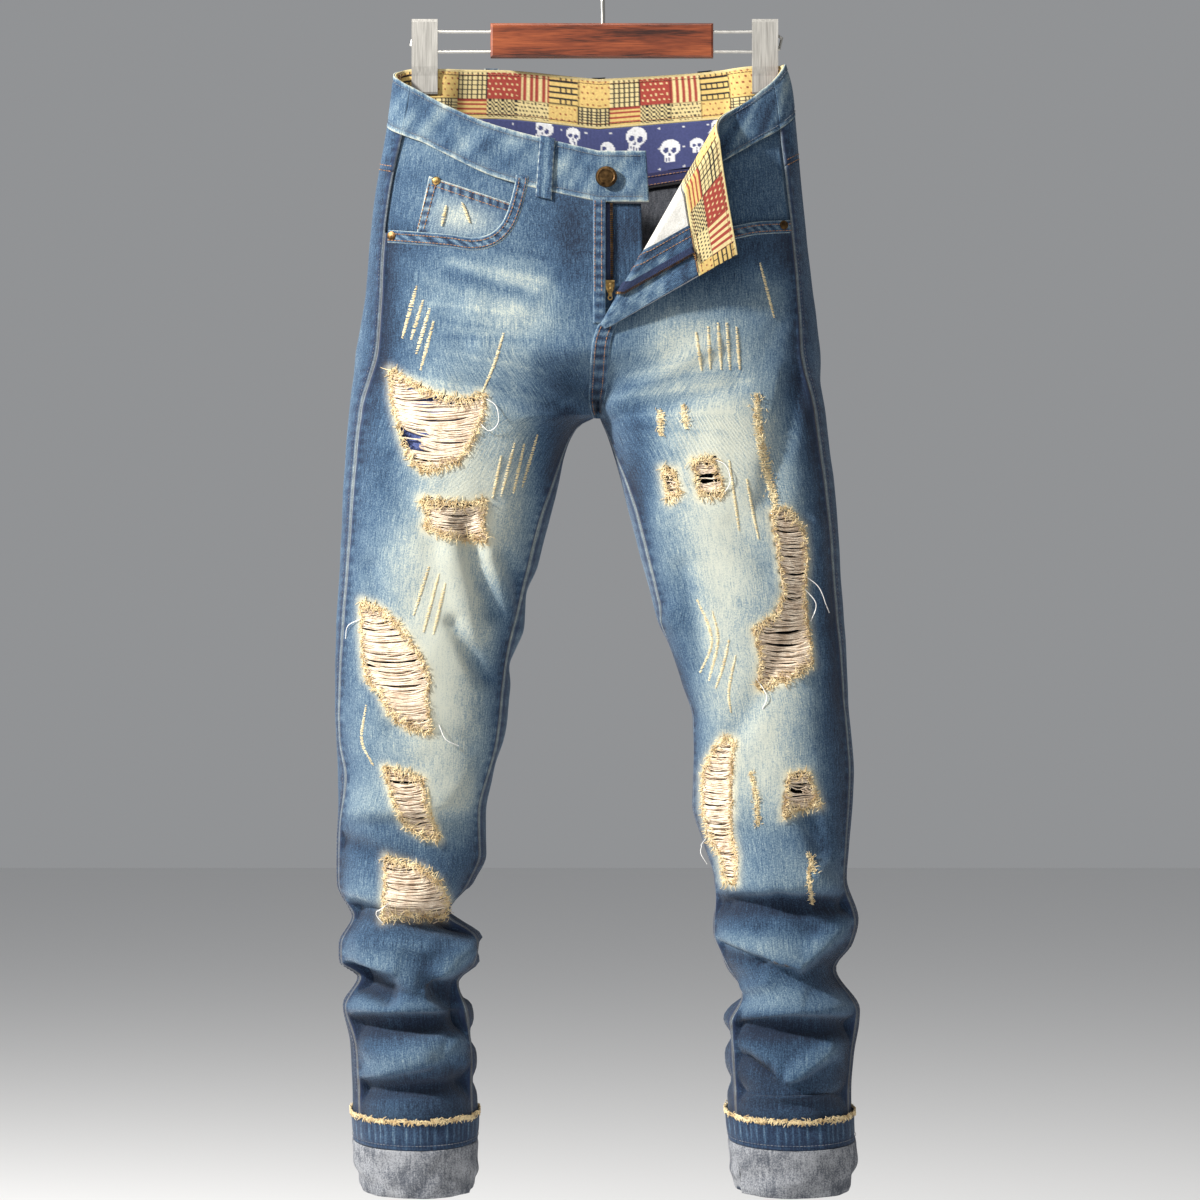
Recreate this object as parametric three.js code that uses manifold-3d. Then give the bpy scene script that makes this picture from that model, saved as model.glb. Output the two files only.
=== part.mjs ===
// Ripped jeans hung from a clip hanger, as closed solids in millimetres.
// +X is to the viewer's right, +Y away from the viewer, +Z up.
// The origin is the top of the inside of the hanger's hook, where a rail bears on it.
// "right" and "left" are the wearer's, so the right leg is on the viewer's left.

import * as THREE from "three";
import { mergeVertices } from "three/addons/utils/BufferGeometryUtils.js";
import Module from "manifold-3d";

const wasm = await Module();
wasm.setup();

// ---------- driving dimensions ----------
const denim = 1.2; // one layer of cloth
const gap = 0.3; // left between neighbouring pieces
const middleY = -16; // middle of the hollow form, in front of the hanger
const centreX = -4; // centre front, centre back and crotch
const crotchZ = -460;
const hipJoinZ = -395; // the hips turn into two legs from here down to the crotch
const legEndZ = -1171;
const hemTopZ = -1098; // raw edge at the top of each turn-up
const hemStitchZ = -1124;
const turnUpZ = -1176; // fold at the foot of each turn-up

// Half depths of the form, in front of its middle and behind it: [height, depth].
const frontDepth = [
  [-125, 28],
  [-182, 32],
  [-216, 37],
  [-261, 44],
  [-350, 54],
  [-460, 58],
  [-540, 58],
  [-628, 54],
  [-720, 50],
  [-890, 46],
  [-1171, 45],
];
const backDepth = [
  [-125, 30],
  [-182, 34],
  [-261, 48],
  [-350, 64],
  [-420, 68],
  [-540, 58],
  [-628, 53],
  [-720, 48],
  [-890, 45],
  [-1171, 44],
];

// Each leg: its outline from the front and how far its seams turn onto the front, in radians,
// as [height, value], and its largest folds.
// A fold is [x, z of one end of its crest, x, z of the other, reach up, reach down, height].
const legs = {
  right: {
    outer: [
      [-125, -191],
      [-160, -195],
      [-190, -199],
      [-255, -210],
      [-350, -220],
      [-440, -233],
      [-535, -240],
      [-628, -244],
      [-720, -247],
      [-796, -245],
      [-862, -246],
      [-890, -245],
      [-919, -231],
      [-945, -244],
      [-960, -244],
      [-975, -226],
      [-1001, -240],
      [-1038, -234],
      [-1090, -231],
      [-1140, -227],
      [-1171, -221],
    ],
    inner: [
      [-460, -5],
      [-470, -23],
      [-488, -33],
      [-535, -44],
      [-572, -54],
      [-628, -68],
      [-684, -81],
      [-758, -91],
      [-824, -108],
      [-862, -107],
      [-889, -119],
      [-915, -138],
      [-941, -110],
      [-961, -114],
      [-979, -130],
      [-1003, -121],
      [-1050, -116],
      [-1090, -116],
      [-1171, -121],
    ],
    sideTurn: [
      [-125, 0.45],
      [-300, 0.36],
      [-460, 0.46],
      [-628, 0.42],
      [-758, 0.33],
      [-790, 0.5],
      [-840, 0.3],
      [-1000, 0.35],
      [-1050, 0.5],
      [-1171, 0.5],
    ],
    inTurn: [
      [-460, 0.02],
      [-560, 0.42],
      [-1171, 0.42],
    ],
    folds: [
      [-233, -818, -122, -812, 45, 20, 8],
      [-231, -907, -136, -912, 45, 18, 13],
      [-240, -957, -191, -965, 24, 12, 11],
      [-109, -946, -161, -982, 26, 14, 13],
      [-191, -965, -161, -982, 26, 26, 9],
      [-235, -1001, -122, -998, 18, 18, 11],
      [-222, -1063, -150, -1044, 30, 14, 9],
      [-150, -1044, -117, -1024, 16, 20, 7],
    ],
  },
  left: {
    outer: [
      [-125, 166],
      [-160, 175],
      [-190, 178],
      [-255, 184],
      [-350, 195],
      [-440, 204],
      [-535, 214],
      [-628, 221],
      [-720, 226],
      [-796, 232],
      [-833, 230],
      [-885, 225],
      [-922, 236],
      [-945, 231],
      [-968, 216],
      [-1006, 237],
      [-1048, 232],
      [-1090, 230],
      [-1140, 231],
      [-1171, 226],
    ],
    inner: [
      [-460, -4],
      [-479, 4],
      [-516, 15],
      [-553, 25],
      [-591, 35],
      [-647, 49],
      [-665, 59],
      [-703, 73],
      [-740, 83],
      [-815, 83],
      [-852, 93],
      [-889, 103],
      [-936, 101],
      [-964, 112],
      [-989, 125],
      [-1015, 111],
      [-1090, 114],
      [-1171, 124],
    ],
    sideTurn: [
      [-125, 0.45],
      [-300, 0.38],
      [-460, 0.44],
      [-628, 0.42],
      [-760, 0.36],
      [-1171, 0.36],
    ],
    inTurn: [
      [-460, 0.02],
      [-553, 0.4],
      [-630, 0.4],
      [-670, 0.1],
      [-900, 0.1],
      [-1040, 0.5],
      [-1171, 0.5],
    ],
    folds: [
      [103, -889, 223, -884, 50, 28, 12],
      [100, -941, 181, -961, 24, 11, 13],
      [181, -961, 233, -923, 24, 16, 11],
      [109, -1006, 181, -999, 30, 24, 13],
      [181, -999, 234, -1001, 20, 24, 12],
      [121, -1042, 156, -1061, 22, 12, 8],
      [172, -1065, 209, -1042, 22, 12, 8],
      [129, -1079, 218, -1079, 12, 13, 9],
    ],
  },
};

// The clips grip the back of the waistband here and press it flat.
const clipX = { right: -165, left: 150 };
const clipWidth = 24;
const hangerY = 0;
const bandThickness = 2.6; // waistband and facing together

// The open fly: the left front is turned back over itself about a line that climbs from the fly's foot.
const flyFootZ = -385;
const turnAngle = (58 * Math.PI) / 180;
const turnAxis = { x: Math.cos(turnAngle), z: Math.sin(turnAngle) };
const turnSide = { x: -Math.sin(turnAngle), z: Math.cos(turnAngle) };
const flapAngle = (-44 * Math.PI) / 180;
const flapWay = { x: Math.cos(flapAngle), z: Math.sin(flapAngle) };
const rollShare = 0.04; // radius of the roll, as a share of the way up the fold
const edgeShare = turnAxis.x / turnAxis.z; // the centre front, in the same terms

// ---------- curves ----------
const clamp = (v, low, high) => Math.min(high, Math.max(low, v));
const mix = (a, b, t) => a + (b - a) * t;
const ease = (t) => {
  const s = clamp(t, 0, 1);
  return s * s * (3 - 2 * s);
};

// A smooth curve through [height, value] points listed downwards, level at each turning point.
function along(points, z) {
  const last = points.length - 1;
  if (z >= points[0][0]) return points[0][1];
  if (z <= points[last][0]) return points[last][1];
  let i = 0;
  while (z < points[i + 1][0]) i += 1;
  const slope = (k) => (points[k + 1][1] - points[k][1]) / (points[k + 1][0] - points[k][0]);
  const tangent = (k) => {
    if (k === 0) return slope(0);
    if (k === last) return slope(last - 1);
    const a = slope(k - 1);
    const b = slope(k);
    return a * b <= 0 ? 0 : (2 * a * b) / (a + b);
  };
  const [z0, v0] = points[i];
  const [z1, v1] = points[i + 1];
  const span = z1 - z0;
  const t = (z - z0) / span;
  const t2 = t * t;
  const t3 = t2 * t;
  const start = (2 * t3 - 3 * t2 + 1) * v0 + (t3 - 2 * t2 + t) * span * tangent(i);
  const end = (3 * t2 - 2 * t3) * v1 + (t3 - t2) * span * tangent(i + 1);
  return start + end;
}

// Heights of the waistband's edges and of the yoke's seam, as [degrees round the form, height]:
// 90 is the centre front, 0 the outline at the side and -90 the centre back.
const waistTop = {
  right: [
    [90, -217],
    [60, -192],
    [40, -171],
    [25, -157],
    [0, -144],
    [-30, -137],
    [-60, -137],
    [-90, -145],
  ],
  left: [
    [90, -217],
    [60, -193],
    [40, -170],
    [30, -157],
    [0, -134],
    [-30, -134],
    [-60, -140],
    [-90, -145],
  ],
};
const waistFoot = {
  right: [
    [90, -264],
    [65, -243],
    [45, -218],
    [33, -206],
    [0, -191],
    [-30, -182],
    [-60, -182],
    [-90, -191],
  ],
  left: [
    [90, -264],
    [65, -243],
    [45, -216],
    [33, -203],
    [0, -182],
    [-30, -180],
    [-60, -184],
    [-90, -191],
  ],
};
const yokeDepth = { side: 34, centre: 62 };

// ---------- the form ----------
// How far the folds push the front out at a point.
function foldHeight(side, x, z) {
  let most = 0;
  for (const [x0, z0, x1, z1, up, down, height] of legs[side].folds) {
    const dx = x1 - x0;
    const t = (x - x0) / dx;
    const overrun = Math.max(0, -t, t - 1) * Math.abs(dx);
    const above = z - mix(z0, z1, clamp(t, 0, 1));
    const across = above > 0 ? 1 - above / up : 1 + above / down;
    most = Math.max(most, height * ease(across) * ease(1 - overrun / 14));
  }
  return most;
}

// The angle round the form: 0 at the side, positive over the front, negative over the back.
// w is 0 on the side seam, 1 on the centre front or inseam and -1 on the centre back or inseam.
function surface(side, w, z) {
  const leg = legs[side];
  const outer = along(leg.outer, z);
  const inner = along(leg.inner, z);
  const sideTurn = along(leg.sideTurn, z);
  const inTurn = along(leg.inTurn, z);
  const legShare = ease((hipJoinZ - z) / (hipJoinZ - crotchZ));
  const point = (angle, middle) => {
    const sine = Math.sin(angle);
    const depth = sine > 0 ? along(frontDepth, z) : along(backDepth, z);
    return [middle + (outer - middle) * Math.cos(angle), middleY - depth * sine];
  };
  const half = Math.PI / 2;
  const overLeg = w > 0 ? Math.PI - inTurn - sideTurn : Math.PI + sideTurn + inTurn;
  const onLeg = sideTurn + w * overLeg;
  const onHips = w > 0 ? sideTurn + w * (half - sideTurn) : sideTurn + w * (half + sideTurn);
  const [hipX, hipY] = point(onHips, centreX);
  const [legX, legY] = point(onLeg, (outer + inner) / 2);
  const x = mix(hipX, legX, legShare);
  let y = mix(hipY, legY, legShare);
  let drop = 0;
  if (y < middleY) {
    const lift = foldHeight(side, x, z) * Math.sin(clamp(onLeg, 0, Math.PI)) * legShare;
    y -= 0.9 * lift;
    drop = 0.4 * lift;
  } else if (legShare === 1) {
    const lift = 0.7 * foldHeight(side, x, z + 9) * Math.abs(Math.sin(onLeg));
    y += lift;
  }
  if (w < 0 && z > -215) {
    const nearClip = ease((38 - Math.abs(x - clipX[side])) / 24);
    const near = nearClip * ease((z + 215) / 25) * ease((y - middleY) / 8);
    y = mix(y, hangerY + bandThickness / 2, near);
  }
  return new THREE.Vector3(x, y, z - drop);
}

// A point of the form moved out by h.
function onForm(side, w, z, h) {
  const dw = 0.02;
  const dz = 1.5;
  const across = surface(side, w + dw, z).sub(surface(side, w - dw, z));
  const down = surface(side, w, z - dz).sub(surface(side, w, z + dz));
  const out = side === "right" ? across.cross(down) : down.cross(across);
  const normal = out.normalize().negate();
  return surface(side, w, z).addScaledVector(normal, h);
}

// The angle round the hips, in radians, and back from a place across the front.
function hipAngle(side, w) {
  const turn = along(legs[side].sideTurn, -200);
  return w > 0 ? turn + w * (Math.PI / 2 - turn) : turn + w * (Math.PI / 2 + turn);
}

function wayRound(side, x, z, facing = 1) {
  const turn = along(legs[side].sideTurn, z);
  const share = (x - centreX) / (along(legs[side].outer, z) - centreX);
  const angle = facing * Math.acos(clamp(share, -1, 1));
  return angle > turn ? (angle - turn) / (Math.PI / 2 - turn) : (angle - turn) / (Math.PI / 2 + turn);
}

const bandTop = (side, w) => along(waistTop[side], (hipAngle(side, w) * 180) / Math.PI);
const bandFoot = (side, w) => along(waistFoot[side], (hipAngle(side, w) * 180) / Math.PI);
const yokeFoot = (side, w) => bandFoot(side, w) - mix(yokeDepth.side, yokeDepth.centre, Math.abs(w));

// Depth of the left front's outside at (x, z), on the hips.
function leftFrontY(x, z) {
  const share = clamp((x - centreX) / (along(legs.left.outer, z) - centreX), -0.98, 0.98);
  return middleY - along(frontDepth, z) * Math.sqrt(1 - share * share);
}

// The left front turned back: the flat place (x, z) of the closed fly, moved out by h, as it lies open.
function turned(x, z, h) {
  const dx = x - centreX;
  const dz = z - flyFootZ;
  const up = dx * turnAxis.x + dz * turnAxis.z;
  const over = dx * turnSide.x + dz * turnSide.z;
  const radius = Math.max(0.5, rollShare * up);
  const angle = over / radius;
  let sideways = over;
  let flap = 0;
  let out = h;
  if (angle > 0 && angle < Math.PI) {
    sideways = (radius - h) * Math.sin(angle);
    out = radius - (radius - h) * Math.cos(angle);
  } else if (angle >= Math.PI) {
    sideways = 0;
    flap = over - Math.PI * radius;
    out = 2 * radius - h;
  }
  const px = centreX + up * turnAxis.x + sideways * turnSide.x + flap * flapWay.x;
  const pz = flyFootZ + up * turnAxis.z + sideways * turnSide.z + flap * flapWay.z;
  return new THREE.Vector3(px, leftFrontY(px, pz) - out, pz);
}

// ---------- solids ----------
function toSolid(geometry) {
  const bare = geometry.index ? geometry.toNonIndexed() : geometry.clone();
  bare.deleteAttribute("normal");
  bare.deleteAttribute("uv");
  const merged = mergeVertices(bare, 1e-4);
  const mesh = new wasm.Mesh({
    numProp: 3,
    vertProperties: merged.attributes.position.array,
    triVerts: new Uint32Array(merged.index.array),
  });
  return new wasm.Manifold(mesh);
}

function toGeometry(solid) {
  const mesh = solid.getMesh();
  const geometry = new THREE.BufferGeometry();
  geometry.setAttribute("position", new THREE.BufferAttribute(mesh.vertProperties, 3));
  geometry.setIndex(new THREE.BufferAttribute(mesh.triVerts, 1));
  return geometry;
}

// A wall between two offsets of a surface. place(u, v, h) gives its points.
// closed joins the last u to the first.
function wall(place, us, vs, low, high, closed = false) {
  const points = [];
  const columns = us.length;
  const rows = vs.length;
  for (const h of [high, low]) {
    for (const v of vs) for (const u of us) points.push(...place(u, v, h).toArray());
  }
  const at = (layer, i, j) => layer * columns * rows + j * columns + (i % columns);
  const faces = [];
  const quad = (a, b, c, d) => faces.push(a, b, c, a, c, d);
  const spans = closed ? columns : columns - 1;
  for (let j = 0; j < rows - 1; j += 1) {
    for (let i = 0; i < spans; i += 1) {
      quad(at(0, i, j), at(0, i + 1, j), at(0, i + 1, j + 1), at(0, i, j + 1));
      quad(at(1, i, j), at(1, i, j + 1), at(1, i + 1, j + 1), at(1, i + 1, j));
    }
  }
  for (let i = 0; i < spans; i += 1) {
    quad(at(0, i, 0), at(1, i, 0), at(1, i + 1, 0), at(0, i + 1, 0));
    quad(at(0, i, rows - 1), at(0, i + 1, rows - 1), at(1, i + 1, rows - 1), at(1, i, rows - 1));
  }
  for (let j = 0; j < rows - 1 && !closed; j += 1) {
    const end = columns - 1;
    quad(at(0, 0, j), at(0, 0, j + 1), at(1, 0, j + 1), at(1, 0, j));
    quad(at(0, end, j), at(1, end, j), at(1, end, j + 1), at(0, end, j + 1));
  }
  const geometry = new THREE.BufferGeometry();
  geometry.setAttribute("position", new THREE.BufferAttribute(new Float32Array(points), 3));
  geometry.setIndex(faces);
  const solid = toSolid(geometry);
  if (solid.volume() > 0) return solid;
  for (let k = 0; k < faces.length; k += 3) [faces[k], faces[k + 1]] = [faces[k + 1], faces[k]];
  geometry.setIndex(faces);
  return toSolid(geometry);
}

const steps = (from, to, count) => Array.from({ length: count + 1 }, (_, i) => mix(from, to, i / count));

// An outline in X and Z, as a prism from one depth to another.
function prism(outline, nearY, farY) {
  const shape = new THREE.Shape(outline.map(([x, z]) => new THREE.Vector2(x, z)));
  const geometry = new THREE.ExtrudeGeometry(shape, { depth: farY - nearY, bevelEnabled: false });
  geometry.rotateX(Math.PI / 2).translate(0, farY, 0);
  return toSolid(geometry);
}
const throughFront = (outline) => prism(outline, -140, middleY);
const throughBack = (outline) => prism(outline, middleY, 120);

const group = new THREE.Group();
group.name = "ripped_jeans_on_a_clip_hanger";
const finishes = {
  washedDenim: [0x8fa9bd, 0.92, 0],
  darkDenim: [0x35506f, 0.92, 0],
  denimInside: [0xa7aab0, 0.95, 0],
  patchwork: [0xd9b26a, 0.9, 0],
  printedLining: [0x454b78, 0.9, 0],
  whiteCotton: [0xe9e6df, 0.9, 0],
  zipTape: [0x26304d, 0.9, 0],
  brass: [0x8a6f45, 0.38, 1],
  wood: [0x9a4f25, 0.45, 0],
  steel: [0xc9c8c3, 0.35, 1],
};

function add(name, solid, finish) {
  const [color, roughness, metalness] = finishes[finish];
  const material = new THREE.MeshStandardMaterial({ color, roughness, metalness });
  const mesh = new THREE.Mesh(solid.isBufferGeometry ? solid : toGeometry(solid), material);
  mesh.name = name;
  group.add(mesh);
  return mesh;
}

// ---------- legs and hips ----------
const rowHeights = [
  -190, -216, -248, -285, -325, -365, -400, -430, -450, -462, -478, -510, -560, -620, -690, -760, -800, -826,
  -848, -868, -887, -903, -918, -933, -948, -964, -980, -1003, -1020, -1042, -1063, -1084, hemTopZ, -1111,
  hemStitchZ, -1150, legEndZ,
];
const topReach = 130; // the slope of a panel's top edge dies out over this
const seamEnds = { side: 0.004, centre: 0.996 }; // a panel's edges, just short of its seams

// The height of a row of a panel whose top edge is not level.
function rowHeight(row, top) {
  const share = clamp(1 - (rowHeights[0] - row) / topReach, 0, 1);
  return row + (top - rowHeights[0]) * share;
}

const frontWays = steps(seamEnds.side, seamEnds.centre, 7);

const frontPlace = (side) => (w, row, h) => onForm(side, w, rowHeight(row, bandFoot(side, w) - gap), h);
const frontPanel = (side) => wall(frontPlace(side), frontWays, rowHeights, -denim, 0);

// Ways across the back, with one each side of the stretch that the clip presses flat.
function waysAcrossBack(side) {
  const middle = clipX[side];
  const away = Math.sign(middle);
  const clipWays = [-36, -14, 14].map((reach) => wayRound(side, middle + away * reach, -140, -1));
  const [inner, near, far] = clipWays;
  const toCentre = steps(-seamEnds.centre, inner, 3).slice(0, -1);
  const toSide = steps(far, -seamEnds.side, 2).slice(1);
  return [...toCentre, inner, near, (near + far) / 2, far, ...toSide];
}
// Both lists run to the wearer's left.
const backWays = { right: waysAcrossBack("right").reverse(), left: waysAcrossBack("left") };

const seatPlace = (side) => (w, row, h) => onForm(side, w, rowHeight(row, yokeFoot(side, w) - gap), h);
const backPanel = (side) => wall(seatPlace(side), backWays[side], rowHeights, -denim, 0);

const yokeRows = steps(0, 1, 4);
function yoke(side) {
  const place = (w, v, h) => onForm(side, w, mix(bandFoot(side, w) - gap, yokeFoot(side, w), v), h);
  return wall(place, backWays[side], yokeRows, -denim, 0);
}

// Both halves of the back in one: t is -1 on the right side seam, 0 on the centre back and 1 on the left.
const backSide = (t) => (t < 0 ? "right" : "left");
const backWay = (t) => Math.abs(t) - 1;
const backHalves = [...backWays.right.map((w) => -1 - w), ...backWays.left.map((w) => 1 + w)]
  .filter((t) => Math.abs(t) > 0.01)
  .concat(0)
  .sort((a, b) => a - b);

// The rips, as seen from the front: [x, z] outlines.
const rips = {
  right: {
    thigh: [
      [-195, -417],
      [-172, -431],
      [-150, -442],
      [-124, -446],
      [-109, -440],
      [-109, -458],
      [-122, -490],
      [-131, -502],
      [-163, -512],
      [-178, -498],
      [-187, -470],
      [-193, -444],
    ],
    thighFoot: [
      [-166, -536],
      [-124, -541],
      [-107, -536],
      [-110, -556],
      [-106, -575],
      [-140, -571],
      [-163, -562],
      [-159, -550],
    ],
    knee: [
      [-221, -629],
      [-207, -634],
      [-188, -650],
      [-168, -678],
      [-159, -697],
      [-161, -722],
      [-158, -750],
      [-179, -745],
      [-196, -731],
      [-204, -713],
      [-217, -699],
      [-221, -660],
    ],
    shinTop: [
      [-200, -781],
      [-165, -791],
      [-162, -816],
      [-150, -848],
      [-166, -843],
      [-181, -834],
      [-191, -812],
    ],
    shin: [
      [-199, -863],
      [-167, -873],
      [-150, -886],
      [-142, -905],
      [-145, -920],
      [-187, -917],
      [-202, -921],
      [-199, -890],
    ],
  },
  left: {
    thighSlit: [
      [54, -508],
      [65, -510],
      [70, -532],
      [60, -538],
    ],
    thighWindow: [
      [82, -501],
      [101, -499],
      [110, -532],
      [89, -534],
    ],
    outerThigh: [
      [154, -548],
      [168, -546],
      [183, -562],
      [186, -590],
      [184, -628],
      [188, -660],
      [191, -688],
      [165, -703],
      [142, -710],
      [145, -680],
      [138, -655],
      [158, -641],
      [166, -622],
      [162, -592],
    ],
    innerCalf: [
      [110, -754],
      [120, -757],
      [117, -790],
      [117, -840],
      [122, -862],
      [121, -888],
      [112, -888],
      [108, -864],
      [97, -846],
      [92, -820],
      [92, -790],
      [96, -776],
    ],
    outerCalf: [
      [170, -789],
      [187, -786],
      [199, -817],
      [181, -820],
      [165, -827],
    ],
  },
};

// The front pockets' mouths: a scoop from the side seam to the waistband.
const mouths = {
  right: [
    [-230, -294],
    [-196, -290],
    [-150, -293],
    [-120, -298],
    [-100, -294],
    [-86, -276],
    [-78, -245],
    [-76, -215],
    [-76, -170],
    [-230, -170],
  ],
  left: [
    [225, -284],
    [168, -280],
    [130, -284],
    [100, -289],
    [80, -284],
    [68, -262],
    [62, -230],
    [62, -165],
    [225, -165],
  ],
};

const cutRips = (panel, side) =>
  Object.values(rips[side]).reduce((solid, outline) => solid.subtract(throughFront(outline)), panel);

const rightFront = cutRips(frontPanel("right"), "right").subtract(throughFront(mouths.right));
add("front_right", rightFront, "washedDenim");

// The left front is cut along the fold of the open fly and joined to the part that is turned back.
// The turned part is a fan of rays from the foot of the fly: a ray's share is how far over it leans.
const rayReach = 330;
const cutAway = throughFront([
  [centreX, flyFootZ - 1],
  [centreX + rayReach * turnAxis.x, flyFootZ + rayReach * turnAxis.z],
  [centreX - 60, flyFootZ + rayReach],
  [centreX - 60, flyFootZ - 1],
]);

// The height of an edge of the waistband on the closed left front, straight above a place across it.
function heightOver(edge, x) {
  let z = -230;
  for (let k = 0; k < 12; k += 1) z = edge("left", Math.min(1, wayRound("left", x, z)));
  return z;
}

// How far up a ray meets that edge.
function upTo(edge, share) {
  let up = 150;
  for (let k = 0; k < 50; k += 1) {
    const x = centreX + up * (turnAxis.x + share * turnSide.x);
    up = mix(up, (heightOver(edge, x) - flyFootZ) / (turnAxis.z + share * turnSide.z), 0.6);
  }
  return up;
}

function onFan(share, up, h) {
  const x = centreX + up * (turnAxis.x + share * turnSide.x);
  const z = flyFootZ + up * (turnAxis.z + share * turnSide.z);
  return turned(x, z, h);
}

const rollShares = [-0.015, ...steps(0, Math.PI * rollShare, 5)];
const flapShares = [...rollShares, 0.2, 0.3, 0.4, 0.5, edgeShare - 0.002];
const flapFoot = (share) => upTo(bandFoot, share);
const flapTop = (share) => upTo(bandTop, share);
const flapPlace = (share, v, h) => onFan(share, v * (flapFoot(share) - gap), h);
const flap = wall(flapPlace, flapShares, [0.06, 0.14, 0.26, 0.4, 0.55, 0.7, 0.85, 1], -denim, 0);
const leftMain = cutRips(frontPanel("left"), "left").subtract(cutAway).subtract(throughFront(mouths.left));
add("front_left", leftMain.add(flap), "washedDenim");

for (const side of ["right", "left"]) {
  add(`back_${side}`, backPanel(side), "washedDenim");
  add(`yoke_${side}`, yoke(side), "washedDenim");
}

// ---------- waistband ----------
const facing = { low: -bandThickness, high: -denim - gap }; // inside the waistband
const bandRows = [0, 0.5, 1];
const bandPlace = (side) => (w, v, h) => onForm(side, w, mix(bandTop(side, w), bandFoot(side, w), v), h);

const underlapEnd = 1.186; // the right end passes the centre front by 40
const rightBandWays = [...frontWays, 1.06, 1.12, underlapEnd];
const rightBand = wall(bandPlace("right"), rightBandWays, bandRows, facing.low, 0);
add("waistband_front_right", rightBand, "washedDenim");

const bandFlapPlace = (share, v, h) => onFan(share, mix(flapTop(share), flapFoot(share), v), h);
const leftBand = wall(bandPlace("left"), frontWays, bandRows, -denim, 0);
const bandFlap = wall(bandFlapPlace, flapShares, bandRows, -denim, 0);
add("waistband_front_left", leftBand.subtract(cutAway).add(bandFlap), "washedDenim");
const facingShares = [0.01, ...flapShares.slice(2)];
add("facing_front_left", wall(bandFlapPlace, facingShares, bandRows, facing.low, facing.high), "patchwork");

const backPlace = (top, foot) => (t, v, h) => {
  const side = backSide(t);
  const w = backWay(t);
  return onForm(side, w, mix(top(side, w), foot(side, w), v), h);
};
const backBand = backPlace(bandTop, bandFoot);
add("waistband_back", wall(backBand, backHalves, bandRows, -denim, 0), "washedDenim");
add("facing_back", wall(backBand, backHalves, bandRows, facing.low, facing.high), "patchwork");

// ---------- lining of the back ----------
// It follows the yoke down to the yoke's seam, and its foot is turned into a hem.
const liningWays = backHalves.filter((t) => Math.abs(t) < 0.95);
const downYoke = (share) => (side, w) => mix(bandFoot(side, w) - gap, yokeFoot(side, w), share);
const liningPlace = backPlace(downYoke(0), downYoke(0.75));
const hemPlace = backPlace(downYoke(0.76), downYoke(1));
add("lining_back", wall(liningPlace, liningWays, steps(0, 1, 3), facing.low, facing.high), "printedLining");
add("lining_hem", wall(hemPlace, liningWays, [0, 1], facing.low, facing.high), "printedLining");

// ---------- pockets ----------
// Pieces that lie on a panel, or under it, inside an outline seen from the front or the back.
const patchRows = rowHeights.slice(0, 12);
const frontPatch = (side, outline, low, high) =>
  wall(frontPlace(side), frontWays, patchRows, low, high).intersect(throughFront(outline));
const seatPatch = (side, outline, low, high) =>
  wall(seatPlace(side), backWays[side], patchRows, low, high).intersect(throughBack(outline));

const pocketLayers = {
  coin: [-2.5, -1.5],
  facing: [-3.8, -2.8],
  bag: [-7, -6],
};
const pocketTop = 3; // the pocket layers stop this far under the waistband

for (const side of ["right", "left"]) {
  const top = (w) => bandFoot(side, w) - pocketTop;
  const foot = (w) => mix(-306, -250, ease((w - 0.55) / 0.25));
  const place = (w, v, h) => onForm(side, w, mix(top(w), Math.min(top(w) - 10, foot(w)), v), h);
  const facingSolid = wall(place, steps(0.01, 0.78, 6), steps(0, 1, 2), ...pocketLayers.facing);
  add(`pocket_facing_${side}`, facingSolid, "washedDenim");
}

const coinPocket = [
  [-172, -292],
  [-163, -250],
  [-157, -238],
  [-120, -249],
  [-78, -263],
  [-84, -284],
  [-98, -298],
  [-122, -303],
];
add("coin_pocket", frontPatch("right", coinPocket, ...pocketLayers.coin), "washedDenim");

// The right pocket's bag hangs behind the rip in the thigh.
const bagPlace = (w, z, h) => onForm("right", w, z, h);
const bagWays = frontWays.slice(1, 6);
const bagHeights = [-262, ...rowHeights.filter((z) => z < -270 && z > -500)];
add("pocket_bag_right", wall(bagPlace, bagWays, bagHeights, ...pocketLayers.bag), "darkDenim");

// Patch pockets on the seat, each with a pointed foot.
const seatPocket = { top: -272, foot: -404, point: -420, inner: 34, outer: 152 };
for (const side of ["right", "left"]) {
  const away = side === "right" ? -1 : 1;
  const x = (across) => centreX + away * across;
  const outline = [
    [x(seatPocket.inner), seatPocket.top - 6],
    [x(seatPocket.inner + 8), seatPocket.foot],
    [x((seatPocket.inner + seatPocket.outer) / 2), seatPocket.point],
    [x(seatPocket.outer - 8), seatPocket.foot],
    [x(seatPocket.outer), seatPocket.top],
  ];
  add(`seat_pocket_${side}`, seatPatch(side, outline, gap, gap + denim), "washedDenim");
}

// ---------- fly ----------
const shieldFoot = -345;
const layers = {
  tape: [-3, -2],
  shield: [-4.8, -3.8],
  facing: [-2.8, -1.8],
  tapeOnFacing: [-5, -4],
};
const flyTop = -265;
const tapeEdge = 8; // the right tape's toothed edge, across from X = 0
const acrossFly = (from, to, count) => steps(from, to, count).map((x) => wayRound("right", x, -300));
const upFly = [flyTop, -290, -315, shieldFoot];
const onRight = (w, z, h) => onForm("right", w, z, h);
add("fly_shield", wall(onRight, acrossFly(-20, 36, 4), upFly, ...layers.shield), "darkDenim");
add("zip_tape_right", wall(onRight, acrossFly(-16, tapeEdge, 2), upFly, ...layers.tape), "zipTape");

// On a ray of the turned part: how far up it is at a distance across from the centre front.
const upAcross = (share, across) => across / (turnAxis.x + share * turnSide.x);
const facingWidth = 40;
const underFoot = (share, up) => Math.min(up, flapFoot(share) - gap);

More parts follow.
